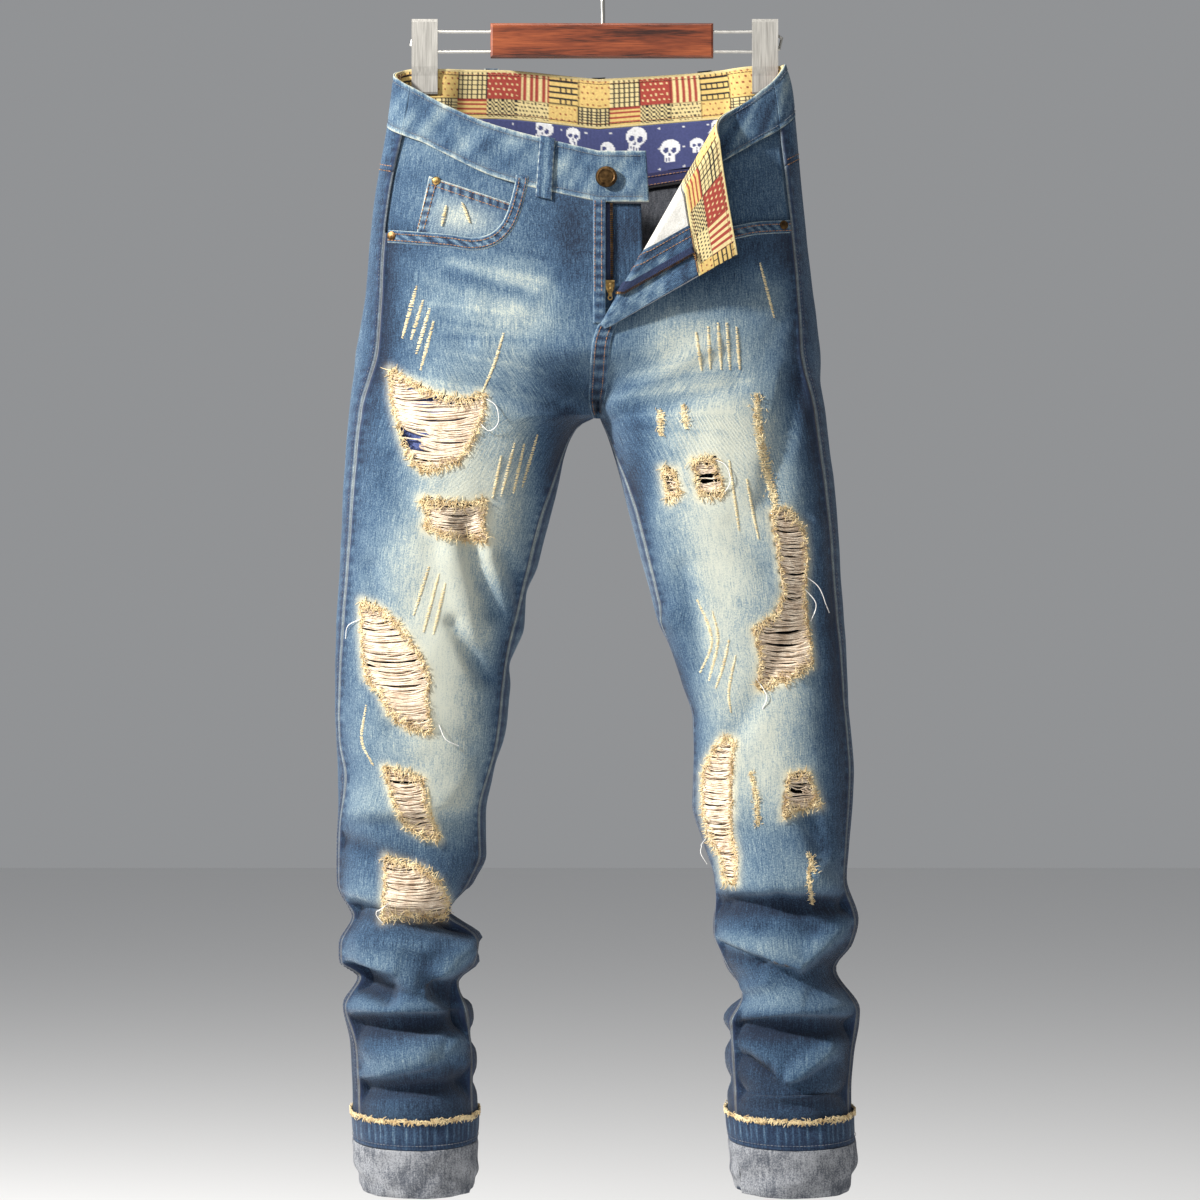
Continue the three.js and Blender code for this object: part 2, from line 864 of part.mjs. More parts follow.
function turnedLayer(shares, from, to, rows, [low, high]) {
  return wall((share, v, h) => onFan(share, mix(from(share), to(share), v), h), shares, rows, low, high);
}
const facingFrom = () => 12;
const facingTo = (share) => underFoot(share, upAcross(share, facingWidth));
const facingRays = flapShares.slice(2, -1).concat(edgeShare - 0.012);
const flyFacing = turnedLayer(facingRays, facingFrom, facingTo, [0, 0.15, 0.4, 0.7, 1], layers.facing);
add("fly_facing", flyFacing, "washedDenim");
const tapeFrom = (share) => underFoot(share, upAcross(share, 18));
const tapeTo = (share) => Math.max(tapeFrom(share) + 2, underFoot(share, upAcross(share, 34)) - 1);
const zipTape = turnedLayer(flapShares.slice(4, 10), tapeFrom, tapeTo, [0, 1], layers.tapeOnFacing);
add("zip_tape_left", zipTape, "zipTape");
const bagFrom = (share) => upAcross(share, facingWidth) + gap;
const bagTo = (share) => flapFoot(share) - gap;
const bag = turnedLayer(flapShares.slice(2, 8), bagFrom, bagTo, [0, 0.5, 1], layers.facing);
add("pocket_bag_left", bag, "whiteCotton");

// ---------- belt loops ----------
const loop = { width: 17, over: 3, low: gap, high: gap + 1.8 };
function beltLoop(side, x, facingWay) {
  const z = (bandTop(side, 0.5) + bandFoot(side, 0.5)) / 2;
  const ways = [x - loop.width / 2, x, x + loop.width / 2].map((at) => wayRound(side, at, z, facingWay));
  const top = (w) => bandTop(side, w) - 1;
  const foot = (w) => bandFoot(side, w) - loop.over;
  const place = (w, v, h) => onForm(side, w, mix(top(w), foot(w), v), h);
  return wall(place, ways.sort((a, b) => a - b), bandRows, loop.low, loop.high);
}
add("belt_loop_front_right", beltLoop("right", -51, 1), "washedDenim");
add("belt_loop_back_right", beltLoop("right", -106, -1), "washedDenim");
add("belt_loop_back_left", beltLoop("left", 98, -1), "washedDenim");
const middleLoop = (t, v, h) => {
  const side = backSide(t);
  const w = backWay(t);
  return onForm(side, w, mix(bandTop(side, w) - 1, bandFoot(side, w) - loop.over, v), h);
};
const middleLoopWays = [-0.022, 0, 0.022];
add("belt_loop_back_middle", wall(middleLoop, middleLoopWays, bandRows, loop.low, loop.high), "washedDenim");

// ---------- turn-ups ----------
const turnUp = { low: 0.5, high: 1.9 };
for (const side of ["right", "left"]) {
  const place = (w, z, h) => onForm(side, w, z, h);
  const hemRows = [hemTopZ, -1111, hemStitchZ];
  const turnUpRows = [hemStitchZ - gap, -1150, turnUpZ];
  const ringWays = [...backWays[side], ...frontWays].sort((a, b) => a - b);
  add(`hem_band_${side}`, wall(place, ringWays, hemRows, turnUp.low, turnUp.high, true), "darkDenim");
  add(`turn_up_${side}`, wall(place, ringWays, turnUpRows, turnUp.low, turnUp.high, true), "denimInside");
}

// ---------- button and rivets ----------
// A round piece on the form: its profile is [radius, height off the cloth], from axis to axis.
function stud(name, side, x, z, profile, segments) {
  const w = wayRound(side, x, z);
  const foot = onForm(side, w, z, gap);
  const outward = onForm(side, w, z, 1 + gap).sub(foot).normalize();
  const points = profile.map(([r, h]) => new THREE.Vector2(r, h));
  const mesh = add(name, new THREE.LatheGeometry(points, segments), "brass");
  mesh.quaternion.setFromUnitVectors(new THREE.Vector3(0, 1, 0), outward);
  mesh.position.copy(foot);
  return mesh;
}
const buttonProfile = [
  [0, 0.8],
  [4, 0.8],
  [4, 2.6],
  [9, 2.6],
  [10, 3.6],
  [9.4, 5],
  [7.6, 5.4],
  [6.8, 4.8],
  [0, 4.9],
];
const rivetProfile = [
  [0, 0.4],
  [4.4, 0.4],
  [4, 1.2],
  [2.4, 1.6],
  [0, 1.8],
];
stud("button", "right", 3, -242, buttonProfile, 24);
stud("rivet_right_side", "right", -194, -294, rivetProfile, 12);
stud("rivet_left_side", "left", 166, -284, rivetProfile, 12);

// ---------- zip slider and its pull tab ----------
// The slider sits at the foot of the open zip; its bridge carries the pull tab, which swings.
const slider = { x: 6.5, z: -342, width: 8, height: 11 };
const sliderBack = onForm("right", wayRound("right", slider.x, slider.z), slider.z, gap).y;
const bodyDepth = 2.2;
const bridge = { length: 6, reach: 3.8, thickness: 1, width: 2 };
const pivotY = sliderBack - bodyDepth - 1.5; // the pull's top bar swings here, under the bridge
const sliderBody = new THREE.Shape();
sliderBody.moveTo(-slider.width / 2, slider.height / 2);
sliderBody.lineTo(slider.width / 2, slider.height / 2);
sliderBody.lineTo(slider.width / 2, 0);
sliderBody.quadraticCurveTo(slider.width / 2 - 0.5, -slider.height / 2 + 1, 1.5, -slider.height / 2);
sliderBody.lineTo(-1.5, -slider.height / 2);
sliderBody.quadraticCurveTo(-slider.width / 2 + 0.5, -slider.height / 2 + 1, -slider.width / 2, 0);
sliderBody.closePath();
const plain = { bevelEnabled: false };
const bodyPlate = new THREE.ExtrudeGeometry(sliderBody, { ...plain, depth: bodyDepth, curveSegments: 4 });
bodyPlate.rotateX(Math.PI / 2).translate(slider.x, sliderBack, slider.z);

// The bridge is a small arch standing off the slider's face, seen here from the side.
const arch = new THREE.Shape();
const [archEnd, archReach] = [bridge.length / 2, -bridge.reach];
const [innerEnd, innerReach] = [archEnd - bridge.thickness, archReach + bridge.thickness];
arch.moveTo(-archEnd, 0.1);
arch.lineTo(-archEnd, archReach / 2);
arch.quadraticCurveTo(-archEnd, archReach, 0, archReach);
arch.quadraticCurveTo(archEnd, archReach, archEnd, archReach / 2);
arch.lineTo(archEnd, 0.1);
arch.lineTo(innerEnd, 0.1);
arch.lineTo(innerEnd, innerReach / 2);
arch.quadraticCurveTo(innerEnd, innerReach, 0, innerReach);
arch.quadraticCurveTo(-innerEnd, innerReach, -innerEnd, innerReach / 2);
arch.lineTo(-innerEnd, 0.1);
arch.closePath();
const archSolid = new THREE.ExtrudeGeometry(arch, { ...plain, depth: bridge.width, curveSegments: 5 });
archSolid.translate(0, 0, -bridge.width / 2).rotateY(-Math.PI / 2);
archSolid.translate(slider.x, sliderBack - bodyDepth, slider.z);
add("zip_slider", toSolid(bodyPlate).add(toSolid(archSolid)), "brass");

// The pull hangs from its top bar, and the slot under that bar clears the bridge all the way round.
const pull = {
  length: 13,
  halfTop: 2.6,
  foot: 2.3,
  thickness: 1.1,
  barHalf: 0.55,
  slotHalf: 1.5,
  slotFoot: -4.2,
};
const roundOutline = (z, radius, sides) =>
  steps(0, 2 * Math.PI, sides)
    .slice(0, -1)
    .map((angle) => new THREE.Vector2(radius * Math.sin(angle), z + radius * Math.cos(angle)));
const pullFoot = pull.foot - pull.length;
const pullShape = new THREE.Shape();
pullShape.moveTo(-pull.halfTop, pull.barHalf);
pullShape.lineTo(pull.halfTop, pull.barHalf);
pullShape.lineTo(pull.halfTop, pull.slotFoot - 1);
pullShape.lineTo(pull.foot * 0.7, pull.slotFoot - 2.5);
pullShape.absarc(0, pullFoot, pull.foot, 0.6, -Math.PI - 0.6, true);
pullShape.lineTo(-pull.foot * 0.7, pull.slotFoot - 2.5);
pullShape.lineTo(-pull.halfTop, pull.slotFoot - 1);
pullShape.closePath();
const slot = [
  [-pull.slotHalf, -pull.barHalf],
  [-pull.slotHalf, pull.slotFoot],
  [pull.slotHalf, pull.slotFoot],
  [pull.slotHalf, -pull.barHalf],
];
pullShape.holes.push(new THREE.Path(slot.map(([x, z]) => new THREE.Vector2(x, z))));
pullShape.holes.push(new THREE.Path(roundOutline(pullFoot, 1.3, 10).reverse()));
const pullPlate = { ...plain, depth: pull.thickness, curveSegments: 6 };
const pullGeometry = new THREE.ExtrudeGeometry(pullShape, pullPlate);
pullGeometry.rotateX(Math.PI / 2).translate(0, pull.thickness / 2, 0);
const pullTab = add("zip_pull", pullGeometry, "brass");
pullTab.position.set(slider.x, pivotY, slider.z);

// ---------- hanger ----------
const wire = { radius: 2, sides: 10 };
const rod = { radius: 1.5, sides: 8, top: -102.6, foot: -121 };
const bar = { left: -104, right: 102, top: -95, foot: -127, depth: 13 };

function tube(path, radius, sides, count) {
  const section = new THREE.Shape(roundOutline(0, radius, sides));
  return new THREE.ExtrudeGeometry(section, { steps: count, bevelEnabled: false, extrudePath: path });
}

// The hook: straight up from the bar, out, and over the rail.
const hookRadius = 22 + wire.radius;
const hookMiddle = wire.radius - hookRadius;
const overRail = steps(-0.9, Math.PI + 0.35, 20).map((angle) => {
  const reach = new THREE.Vector3(Math.cos(angle), 0, Math.sin(angle)).multiplyScalar(hookRadius);
  return reach.add(new THREE.Vector3(0, hangerY, hookMiddle));
});
const stem = [bar.top + gap, -84, -72].map((z) => new THREE.Vector3(0, hangerY, z));
const hookPath = new THREE.CatmullRomCurve3([...stem, new THREE.Vector3(6, hangerY, -52), ...overRail]);
add("hook", tube(hookPath, wire.radius, wire.sides, 32), "steel");

const barOutline = new THREE.Shape();
barOutline.moveTo(bar.left, bar.top);
barOutline.lineTo(bar.right, bar.top);
barOutline.lineTo(bar.right, bar.foot);
barOutline.lineTo(bar.left, bar.foot);
barOutline.closePath();
const barBevel = { bevelThickness: 2, bevelSize: 2, bevelOffset: -2, bevelSegments: 2 };
const barShape = { depth: bar.depth - 4, curveSegments: 6, ...barBevel };
const barSolid = new THREE.ExtrudeGeometry(barOutline, barShape);
barSolid.rotateX(Math.PI / 2).translate(0, hangerY + bar.depth / 2 - 2, 0);
const bore = (z) => {
  const span = bar.right - bar.left + 40;
  const drill = new THREE.CylinderGeometry(rod.radius + gap, rod.radius + gap, span, rod.sides);
  drill.rotateZ(Math.PI / 2).translate((bar.right + bar.left) / 2, hangerY, z);
  return toSolid(drill);
};
add("wood_bar", toSolid(barSolid).subtract(bore(rod.top)).subtract(bore(rod.foot)), "wood");

// One loop of rod runs through the bar's two bores and carries both clips.
const loopBend = (rod.top - rod.foot) / 2;
const bend = (x, from, to) =>
  steps(from, to, 8).map((angle) => {
    const reach = new THREE.Vector3(Math.cos(angle), 0, Math.sin(angle)).multiplyScalar(loopBend);
    return reach.add(new THREE.Vector3(x, hangerY, (rod.top + rod.foot) / 2));
  });
const rodEnds = { left: -169, right: 157 };
const rightBend = bend(rodEnds.right, Math.PI / 2, -Math.PI / 2);
const leftBend = bend(rodEnds.left, 1.5 * Math.PI, Math.PI / 2);
const straight = (from, to, z) =>
  steps(from, to, 10)
    .slice(1, -1)
    .map((x) => new THREE.Vector3(x, hangerY, z));
const rodPoints = [
  ...rightBend,
  ...straight(rodEnds.right, rodEnds.left, rod.foot),
  ...leftBend,
  ...straight(rodEnds.left, rodEnds.right, rod.top),
];
const rodPath = new THREE.CatmullRomCurve3(rodPoints, true, "centripetal");
add("rod_loop", tube(rodPath, rod.radius, rod.sides, 64), "steel");

// A clip: two sprung jaws of folded plate that close on the waistband.
const jaw = [
  [2, -159],
  [2, -143],
  [3.4, -134],
  [3.4, -96],
  [0.4, -93],
  [0.4, -91],
  [3.2, -91],
  [5.2, -94],
  [5.2, -135],
  [3.9, -143.5],
  [3.9, -158.5],
  [3, -160.5],
];
for (const side of ["right", "left"]) {
  for (const [name, way] of [["front", -1], ["back", 1]]) {
    const outline = new THREE.Shape(jaw.map(([y, z]) => new THREE.Vector2(way * y, z)));
    const plate = new THREE.ExtrudeGeometry(outline, { depth: clipWidth, bevelEnabled: false });
    plate.rotateX(Math.PI / 2).rotateZ(Math.PI / 2).translate(clipX[side] - clipWidth / 2, hangerY, 0);
    add(`clip_${side}_${name}`, plate, "steel");
  }
}

export default group;
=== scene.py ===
import math

import bmesh
import bpy
import numpy as np
from mathutils import Matrix, Vector


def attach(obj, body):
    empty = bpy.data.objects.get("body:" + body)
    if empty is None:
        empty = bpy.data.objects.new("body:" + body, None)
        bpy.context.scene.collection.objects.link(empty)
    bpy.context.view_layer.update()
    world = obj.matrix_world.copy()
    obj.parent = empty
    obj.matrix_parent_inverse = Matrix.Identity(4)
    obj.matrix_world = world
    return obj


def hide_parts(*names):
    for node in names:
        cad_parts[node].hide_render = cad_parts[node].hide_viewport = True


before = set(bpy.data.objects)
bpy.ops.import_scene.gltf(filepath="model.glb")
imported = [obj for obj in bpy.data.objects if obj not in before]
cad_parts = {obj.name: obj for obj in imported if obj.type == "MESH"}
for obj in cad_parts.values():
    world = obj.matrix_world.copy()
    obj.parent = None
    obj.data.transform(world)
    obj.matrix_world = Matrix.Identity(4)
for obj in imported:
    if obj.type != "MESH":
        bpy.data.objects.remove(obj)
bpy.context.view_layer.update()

print("frame loaded")
mm = 0.001


# the form: the same sections as the solids, in millimetres
form = {
    "middleY": -16, "centreX": -4, "crotchZ": -460, "hipJoinZ": -395,
    "legEndZ": -1171, "turnUpZ": -1176, "hemTopZ": -1098, "hemStitchZ": -1124,
    "clipX": {"right": -165, "left": 150}, "hangerY": 0, "bandThickness": 2.6,
    "front": [[-125, 28], [-182, 32], [-216, 37], [-261, 44], [-350, 54], [-460, 58], [-540, 58],
              [-628, 54], [-720, 50], [-890, 46], [-1171, 45]],
    "back": [[-125, 30], [-182, 34], [-261, 48], [-350, 64], [-420, 68], [-540, 58], [-628, 53],
             [-720, 48], [-890, 45], [-1171, 44]],
}
# a fold is x, z of one end of its crest, x, z of the other, reach up, reach down, height
legs = {
    "right": {
        "outer": [[-125, -191], [-160, -195], [-190, -199], [-255, -210], [-350, -220], [-440, -233],
                  [-535, -240], [-628, -244], [-720, -247], [-796, -245], [-862, -246], [-890, -245],
                  [-919, -231], [-945, -244], [-960, -244], [-975, -226], [-1001, -240], [-1038, -234],
                  [-1090, -231], [-1140, -227], [-1171, -221]],
        "inner": [[-460, -5], [-470, -23], [-488, -33], [-535, -44], [-572, -54], [-628, -68],
                  [-684, -81], [-758, -91], [-824, -108], [-862, -107], [-889, -119], [-915, -138],
                  [-941, -110], [-961, -114], [-979, -130], [-1003, -121], [-1050, -116], [-1090, -116],
                  [-1171, -121]],
        "sideTurn": [[-125, 0.45], [-300, 0.36], [-460, 0.46], [-628, 0.42], [-758, 0.33], [-790, 0.5],
                     [-840, 0.3], [-1000, 0.35], [-1050, 0.5], [-1171, 0.5]],
        "inTurn": [[-460, 0.02], [-560, 0.42], [-1171, 0.42]],
        "folds": [[-233, -818, -122, -812, 45, 20, 8], [-231, -907, -136, -912, 45, 18, 13],
                  [-240, -957, -191, -965, 24, 12, 11], [-109, -946, -161, -982, 26, 14, 13],
                  [-191, -965, -161, -982, 26, 26, 9], [-235, -1001, -122, -998, 18, 18, 11],
                  [-222, -1063, -150, -1044, 30, 14, 9], [-150, -1044, -117, -1024, 16, 20, 7]],
    },
    "left": {
        "outer": [[-125, 166], [-160, 175], [-190, 178], [-255, 184], [-350, 195], [-440, 204],
                  [-535, 214], [-628, 221], [-720, 226], [-796, 232], [-833, 230], [-885, 225],
                  [-922, 236], [-945, 231], [-968, 216], [-1006, 237], [-1048, 232], [-1090, 230],
                  [-1140, 231], [-1171, 226]],
        "inner": [[-460, -4], [-479, 4], [-516, 15], [-553, 25], [-591, 35], [-647, 49], [-665, 59],
                  [-703, 73], [-740, 83], [-815, 83], [-852, 93], [-889, 103], [-936, 101], [-964, 112],
                  [-989, 125], [-1015, 111], [-1090, 114], [-1171, 124]],
        "sideTurn": [[-125, 0.45], [-300, 0.38], [-460, 0.44], [-628, 0.42], [-760, 0.36], [-1171, 0.36]],
        "inTurn": [[-460, 0.02], [-553, 0.4], [-630, 0.4], [-670, 0.1], [-900, 0.1], [-1040, 0.5],
                   [-1171, 0.5]],
        "folds": [[103, -889, 223, -884, 50, 28, 12], [100, -941, 181, -961, 24, 11, 13],
                  [181, -961, 233, -923, 24, 16, 11], [109, -1006, 181, -999, 30, 24, 13],
                  [181, -999, 234, -1001, 20, 24, 12], [121, -1042, 156, -1061, 22, 12, 8],
                  [172, -1065, 209, -1042, 22, 12, 8], [129, -1079, 218, -1079, 12, 13, 9]],
    },
}
waistTop = {
    "right": [[90, -217], [60, -192], [40, -171], [25, -157], [0, -144], [-30, -137], [-60, -137],
              [-90, -145]],
    "left": [[90, -217], [60, -193], [40, -170], [30, -157], [0, -134], [-30, -134], [-60, -140],
             [-90, -145]],
}
waistFoot = {
    "right": [[90, -264], [65, -243], [45, -218], [33, -206], [0, -191], [-30, -182], [-60, -182],
              [-90, -191]],
    "left": [[90, -264], [65, -243], [45, -216], [33, -203], [0, -182], [-30, -180], [-60, -184],
             [-90, -191]],
}
fly = {"footZ": -385, "turnAngle": math.radians(58), "flapAngle": math.radians(-44), "rollShare": 0.04}
turnAxis = (math.cos(fly["turnAngle"]), math.sin(fly["turnAngle"]))
turnSide = (-math.sin(fly["turnAngle"]), math.cos(fly["turnAngle"]))
flapWay = (math.cos(fly["flapAngle"]), math.sin(fly["flapAngle"]))
edgeShare = turnAxis[0] / turnAxis[1]
# where the clips press the back flat, and how softly
press = {"reach": 38, "soft": 24, "footZ": -215, "rise": 25, "depth": 8}
inseamZ = -430
seam = {"ridge": 0.7, "ridgeAt": 0.024, "ridgeWidth": 0.014, "groove": 0.5, "grooveWidth": 0.008,
        "topZ": -205, "footZ": -1085, "fade": 20}


def ease(t):
    s = np.clip(t, 0, 1)
    return s * s * (3 - 2 * s)


def bell(x, width, power=2):
    return np.exp(-((x / width) ** power))


# a bell at each end of 0 to 1
def rims(t, width):
    return bell(t, width) + bell(1 - t, width)


def halfWave(x):
    return 0.5 + 0.5 * np.sin(x)


# a smooth curve through [height, value] points listed downwards
def along(points, z):
    table = np.array(points, float)
    at, value = -table[:, 0], table[:, 1]
    x = np.clip(-np.asarray(z, float), at[0], at[-1])
    i = np.clip(np.searchsorted(at, x, side="right") - 1, 0, len(at) - 2)
    slope = np.diff(value) / np.diff(at)
    tangent = np.zeros(len(at))
    tangent[0], tangent[-1] = slope[0], slope[-1]
    a, b = slope[:-1], slope[1:]
    same = a * b > 0
    tangent[1:-1] = np.where(same, 2 * a * b / np.where(same, a + b, 1), 0)
    span = at[i + 1] - at[i]
    t = (x - at[i]) / span
    start = (2 * t**3 - 3 * t**2 + 1) * value[i] + (t**3 - 2 * t**2 + t) * span * tangent[i]
    return start + (3 * t**2 - 2 * t**3) * value[i + 1] + (t**3 - t**2) * span * tangent[i + 1]


def foldHeight(side, x, z):
    most = np.zeros_like(x)
    for x0, z0, x1, z1, up, down, height in legs[side]["folds"]:
        t = (x - x0) / (x1 - x0)
        overrun = np.maximum(0, np.maximum(-t, t - 1)) * abs(x1 - x0)
        above = z - (z0 + (z1 - z0) * np.clip(t, 0, 1))
        across = np.where(above > 0, 1 - above / up, 1 + above / down)
        most = np.maximum(most, height * ease(across) * ease(1 - overrun / 14))
    return most


# where a way round (0 side, 1 centre front or inseam, -1 centre back) meets a height, in millimetres
def surface(side, w, z):
    leg = legs[side]
    outer, inner = along(leg["outer"], z), along(leg["inner"], z)
    sideTurn, inTurn = along(leg["sideTurn"], z), along(leg["inTurn"], z)
    share = ease((form["hipJoinZ"] - z) / (form["hipJoinZ"] - form["crotchZ"]))
    frontDepth, backDepth = along(form["front"], z), along(form["back"], z)

    def point(angle, middle):
        sine = np.sin(angle)
        depth = np.where(sine > 0, frontDepth, backDepth)
        return middle + (outer - middle) * np.cos(angle), form["middleY"] - depth * sine

    half = math.pi / 2
    onLeg = sideTurn + w * np.where(w > 0, math.pi - inTurn - sideTurn, math.pi + sideTurn + inTurn)
    onHips = sideTurn + w * np.where(w > 0, half - sideTurn, half + sideTurn)
    hipX, hipY = point(onHips, form["centreX"])
    legX, legY = point(onLeg, (outer + inner) / 2)
    x = hipX + (legX - hipX) * share
    y = hipY + (legY - hipY) * share
    isFront = y < form["middleY"]
    around = np.where(onLeg < 0, onLeg + 2 * math.pi, onLeg)
    lift = foldHeight(side, x, z) * np.sin(np.clip(around, 0, math.pi)) * share
    backLift = 0.7 * foldHeight(side, x, z + 9) * np.abs(np.sin(onLeg)) * (share >= 1)
    y = y + np.where(isFront, -0.9 * lift, backLift)
    drop = np.where(isFront, 0.4 * lift, 0)
    near = ease((press["reach"] - np.abs(x - form["clipX"][side])) / press["soft"])
    near = near * ease((z - press["footZ"]) / press["rise"]) * ease((y - form["middleY"]) / press["depth"])
    near = np.where((w < 0) & (z > press["footZ"]), near, 0)
    y = y + (form["hangerY"] + form["bandThickness"] / 2 - y) * near
    return np.stack([x, y, z - drop], -1)


def onForm(side, w, z, h=0.0):
    w, z = np.broadcast_arrays(np.asarray(w, float), np.asarray(z, float))
    across = surface(side, w + 0.02, z) - surface(side, w - 0.02, z)
    down = surface(side, w, z - 1.5) - surface(side, w, z + 1.5)
    out = np.cross(across, down) if side == "right" else np.cross(down, across)
    out = -out / np.linalg.norm(out, axis=-1, keepdims=True)
    h = np.broadcast_to(np.asarray(h, float), w.shape)
    return surface(side, w, z) + out * h[..., None]


def hipAngle(side, w):
    turn = float(along(legs[side]["sideTurn"], -200))
    return turn + w * np.where(w > 0, math.pi / 2 - turn, math.pi / 2 + turn)


def wayRound(side, x, z, facing=1):
    turn = along(legs[side]["sideTurn"], z)
    share = (x - form["centreX"]) / (along(legs[side]["outer"], z) - form["centreX"])
    angle = facing * np.arccos(np.clip(share, -1, 1))
    half = math.pi / 2
    return np.where(angle > turn, (angle - turn) / (half - turn), (angle - turn) / (half + turn))


def bandTop(side, w):
    return along(waistTop[side], np.degrees(hipAngle(side, w)))


def bandFoot(side, w):
    return along(waistFoot[side], np.degrees(hipAngle(side, w)))


def yokeFoot(side, w):
    return bandFoot(side, w) - (34 + 28 * np.abs(w))


def leftFrontY(x, z):
    share = np.clip((x - form["centreX"]) / (along(legs["left"]["outer"], z) - form["centreX"]), -0.98, 0.98)
    return form["middleY"] - along(form["front"], z) * np.sqrt(1 - share * share)


# how far a place is up the line of the fold, and how far past it
def fromFold(x, z):
    dx, dz = x - form["centreX"], z - fly["footZ"]
    return dx * turnAxis[0] + dz * turnAxis[1], dx * turnSide[0] + dz * turnSide[1]


def pastFold(x, y, z):
    return (fromFold(x, z)[1] > -0.05) & (z > fly["footZ"])


# the closed left front's flat place (x, z), moved out by h, as it lies turned back
def turned(x, z, h):
    up, over = fromFold(x, z)
    radius = np.maximum(0.5, fly["rollShare"] * up)
    angle = over / radius
    onRoll, past = (angle > 0) & (angle < math.pi), angle >= math.pi
    sideways = np.where(onRoll, (radius - h) * np.sin(angle), np.where(past, 0, over))
    out = np.where(onRoll, radius - (radius - h) * np.cos(angle), np.where(past, 2 * radius - h, h))
    flap = np.where(past, over - math.pi * radius, 0)
    px = form["centreX"] + up * turnAxis[0] + sideways * turnSide[0] + flap * flapWay[0]
    pz = fly["footZ"] + up * turnAxis[1] + sideways * turnSide[1] + flap * flapWay[1]
    return np.stack([px, leftFrontY(px, pz) - out, pz], -1)


def heightOver(edge, x):
    z = np.full_like(x, -230.0)
    for _ in range(12):
        z = edge("left", np.minimum(1, wayRound("left", x, z)))
    return z


def upTo(edge, share):
    up = np.full_like(share, 150.0)
    for _ in range(50):
        x = form["centreX"] + up * (turnAxis[0] + share * turnSide[0])
        up = up + ((heightOver(edge, x) - fly["footZ"]) / (turnAxis[1] + share * turnSide[1]) - up) * 0.6
    return up


def onFan(share, up, h):
    x = form["centreX"] + up * (turnAxis[0] + share * turnSide[0])
    z = fly["footZ"] + up * (turnAxis[1] + share * turnSide[1])
    return turned(x, z, h)


# soft troughs and ridges, as x, z of each end, half width and height in millimetres
creases = {
    "right": [[-128, -556, -100, -640, 9, -7], [-144, -560, -122, -660, 12, 3],
              [-136, -650, -108, -700, 8, -6], [-104, -590, -78, -662, 9, 3],
              [-90, -587, -66, -640, 8, -3], [-226, -912, -118, -925, 8, -10],
              [-222, -942, -122, -952, 9, 4.5], [-232, -971, -198, -988, 9, -12],
              [-156, -980, -120, -1010, 10, -11], [-224, -1019, -126, -1015, 9, -10],
              [-215, -1040, -128, -1052, 10, 4.5], [-14, -452, -112, -398, 9, 2.5],
              [-16, -462, -128, -432, 9, -2.5], [-205, -330, -140, -352, 12, -1.8],
              [-196, -520, -150, -575, 14, -2.5], [-214, -600, -196, -690, 10, -2.5],
              [-190, -745, -120, -760, 12, -2.5], [-236, -850, -180, -868, 9, -4.5],
              [-220, -1078, -130, -1072, 8, -8], [-150, -1046, -120, -1070, 9, -5],
              [-90, -275, -40, -330, 14, -1.6], [-60, -480, -70, -560, 9, -2.2]],
    "left": [[177, -426, 149, -536, 12, -4], [121, -748, 172, -665, 12, -3.5],
             [186, -822, 200, -856, 12, -4.5], [103, -946, 144, -958, 5, -6],
             [144, -958, 172, -963, 7, -3], [131, -1047, 156, -1063, 5, -6],
             [110, -1018, 228, -1020, 9, -10], [112, -990, 150, -978, 8, 4.5],
             [6, -452, 100, -396, 9, 2.5], [8, -462, 122, -432, 9, -2.5], [72, -600, 92, -690, 9, -2.6],
             [150, -600, 120, -560, 12, -2.2], [196, -560, 202, -640, 9, 2.5],
             [112, -908, 222, -906, 9, -10], [196, -880, 218, -900, 9, 4.5],
             [122, -1078, 218, -1082, 8, -8], [124, -1046, 150, -1056, 7, -6], [60, -640, 76, -720, 8, 2],
             [160, -900, 190, -930, 8, -3]],
    "back": [[14, -452, 150, -420, 9, 3], [14, -464, 150, -446, 9, -3], [60, -620, 190, -642, 14, -4],
             [70, -656, 200, -668, 12, 3], [64, -690, 190, -684, 12, -3.5],
             [96, -905, 220, -915, 8, -7.5], [100, -950, 215, -940, 8, -7.5],
             [104, -985, 220, -998, 9, -7.5], [110, -1030, 215, -1022, 9, -7.5],
             [80, -560, 120, -500, 12, -2.5], [190, -430, 175, -520, 12, -2.5],
             [110, -1070, 215, -1078, 8, -4.5], [70, -760, 130, -800, 12, -2.5],
             [210, -790, 170, -830, 12, -3]],
}


def nearLine(x, z, line):
    x0, z0, x1, z1 = line[:4]
    dx, dz = x1 - x0, z1 - z0
    t = np.clip(((x - x0) * dx + (z - z0) * dz) / (dx * dx + dz * dz), 0, 1)
    return np.hypot(x - x0 - t * dx, z - z0 - t * dz)


def creaseLift(side, w, x, z):
    lift = np.zeros_like(x)
    onFront = ease(w / 0.06) * ease((1 - w) / 0.06)
    onBack = ease((-w - 0.06) / 0.1) * ease((1 + w) / 0.06)
    for line in creases[side]:
        lift = lift + line[5] * bell(nearLine(x, z, line), line[4]) * onFront
    for line in creases["back"]:
        lift = lift + line[5] * bell(nearLine(np.abs(x), z, line), line[4]) * onBack
    slack = ease((-200 - z) / 160)
    slow = np.sin(x / 31 + 1.7 * np.sin(z / 67)) * np.sin(z / 43 + 1.3 * np.sin(x / 52))
    fine = np.sin(x / 9.5 + 2.1 * np.sin(z / 23)) * np.sin(z / 13 + 1.9 * np.sin(x / 17))
    return (lift + 1.1 * slow + 0.3 * fine) * slack


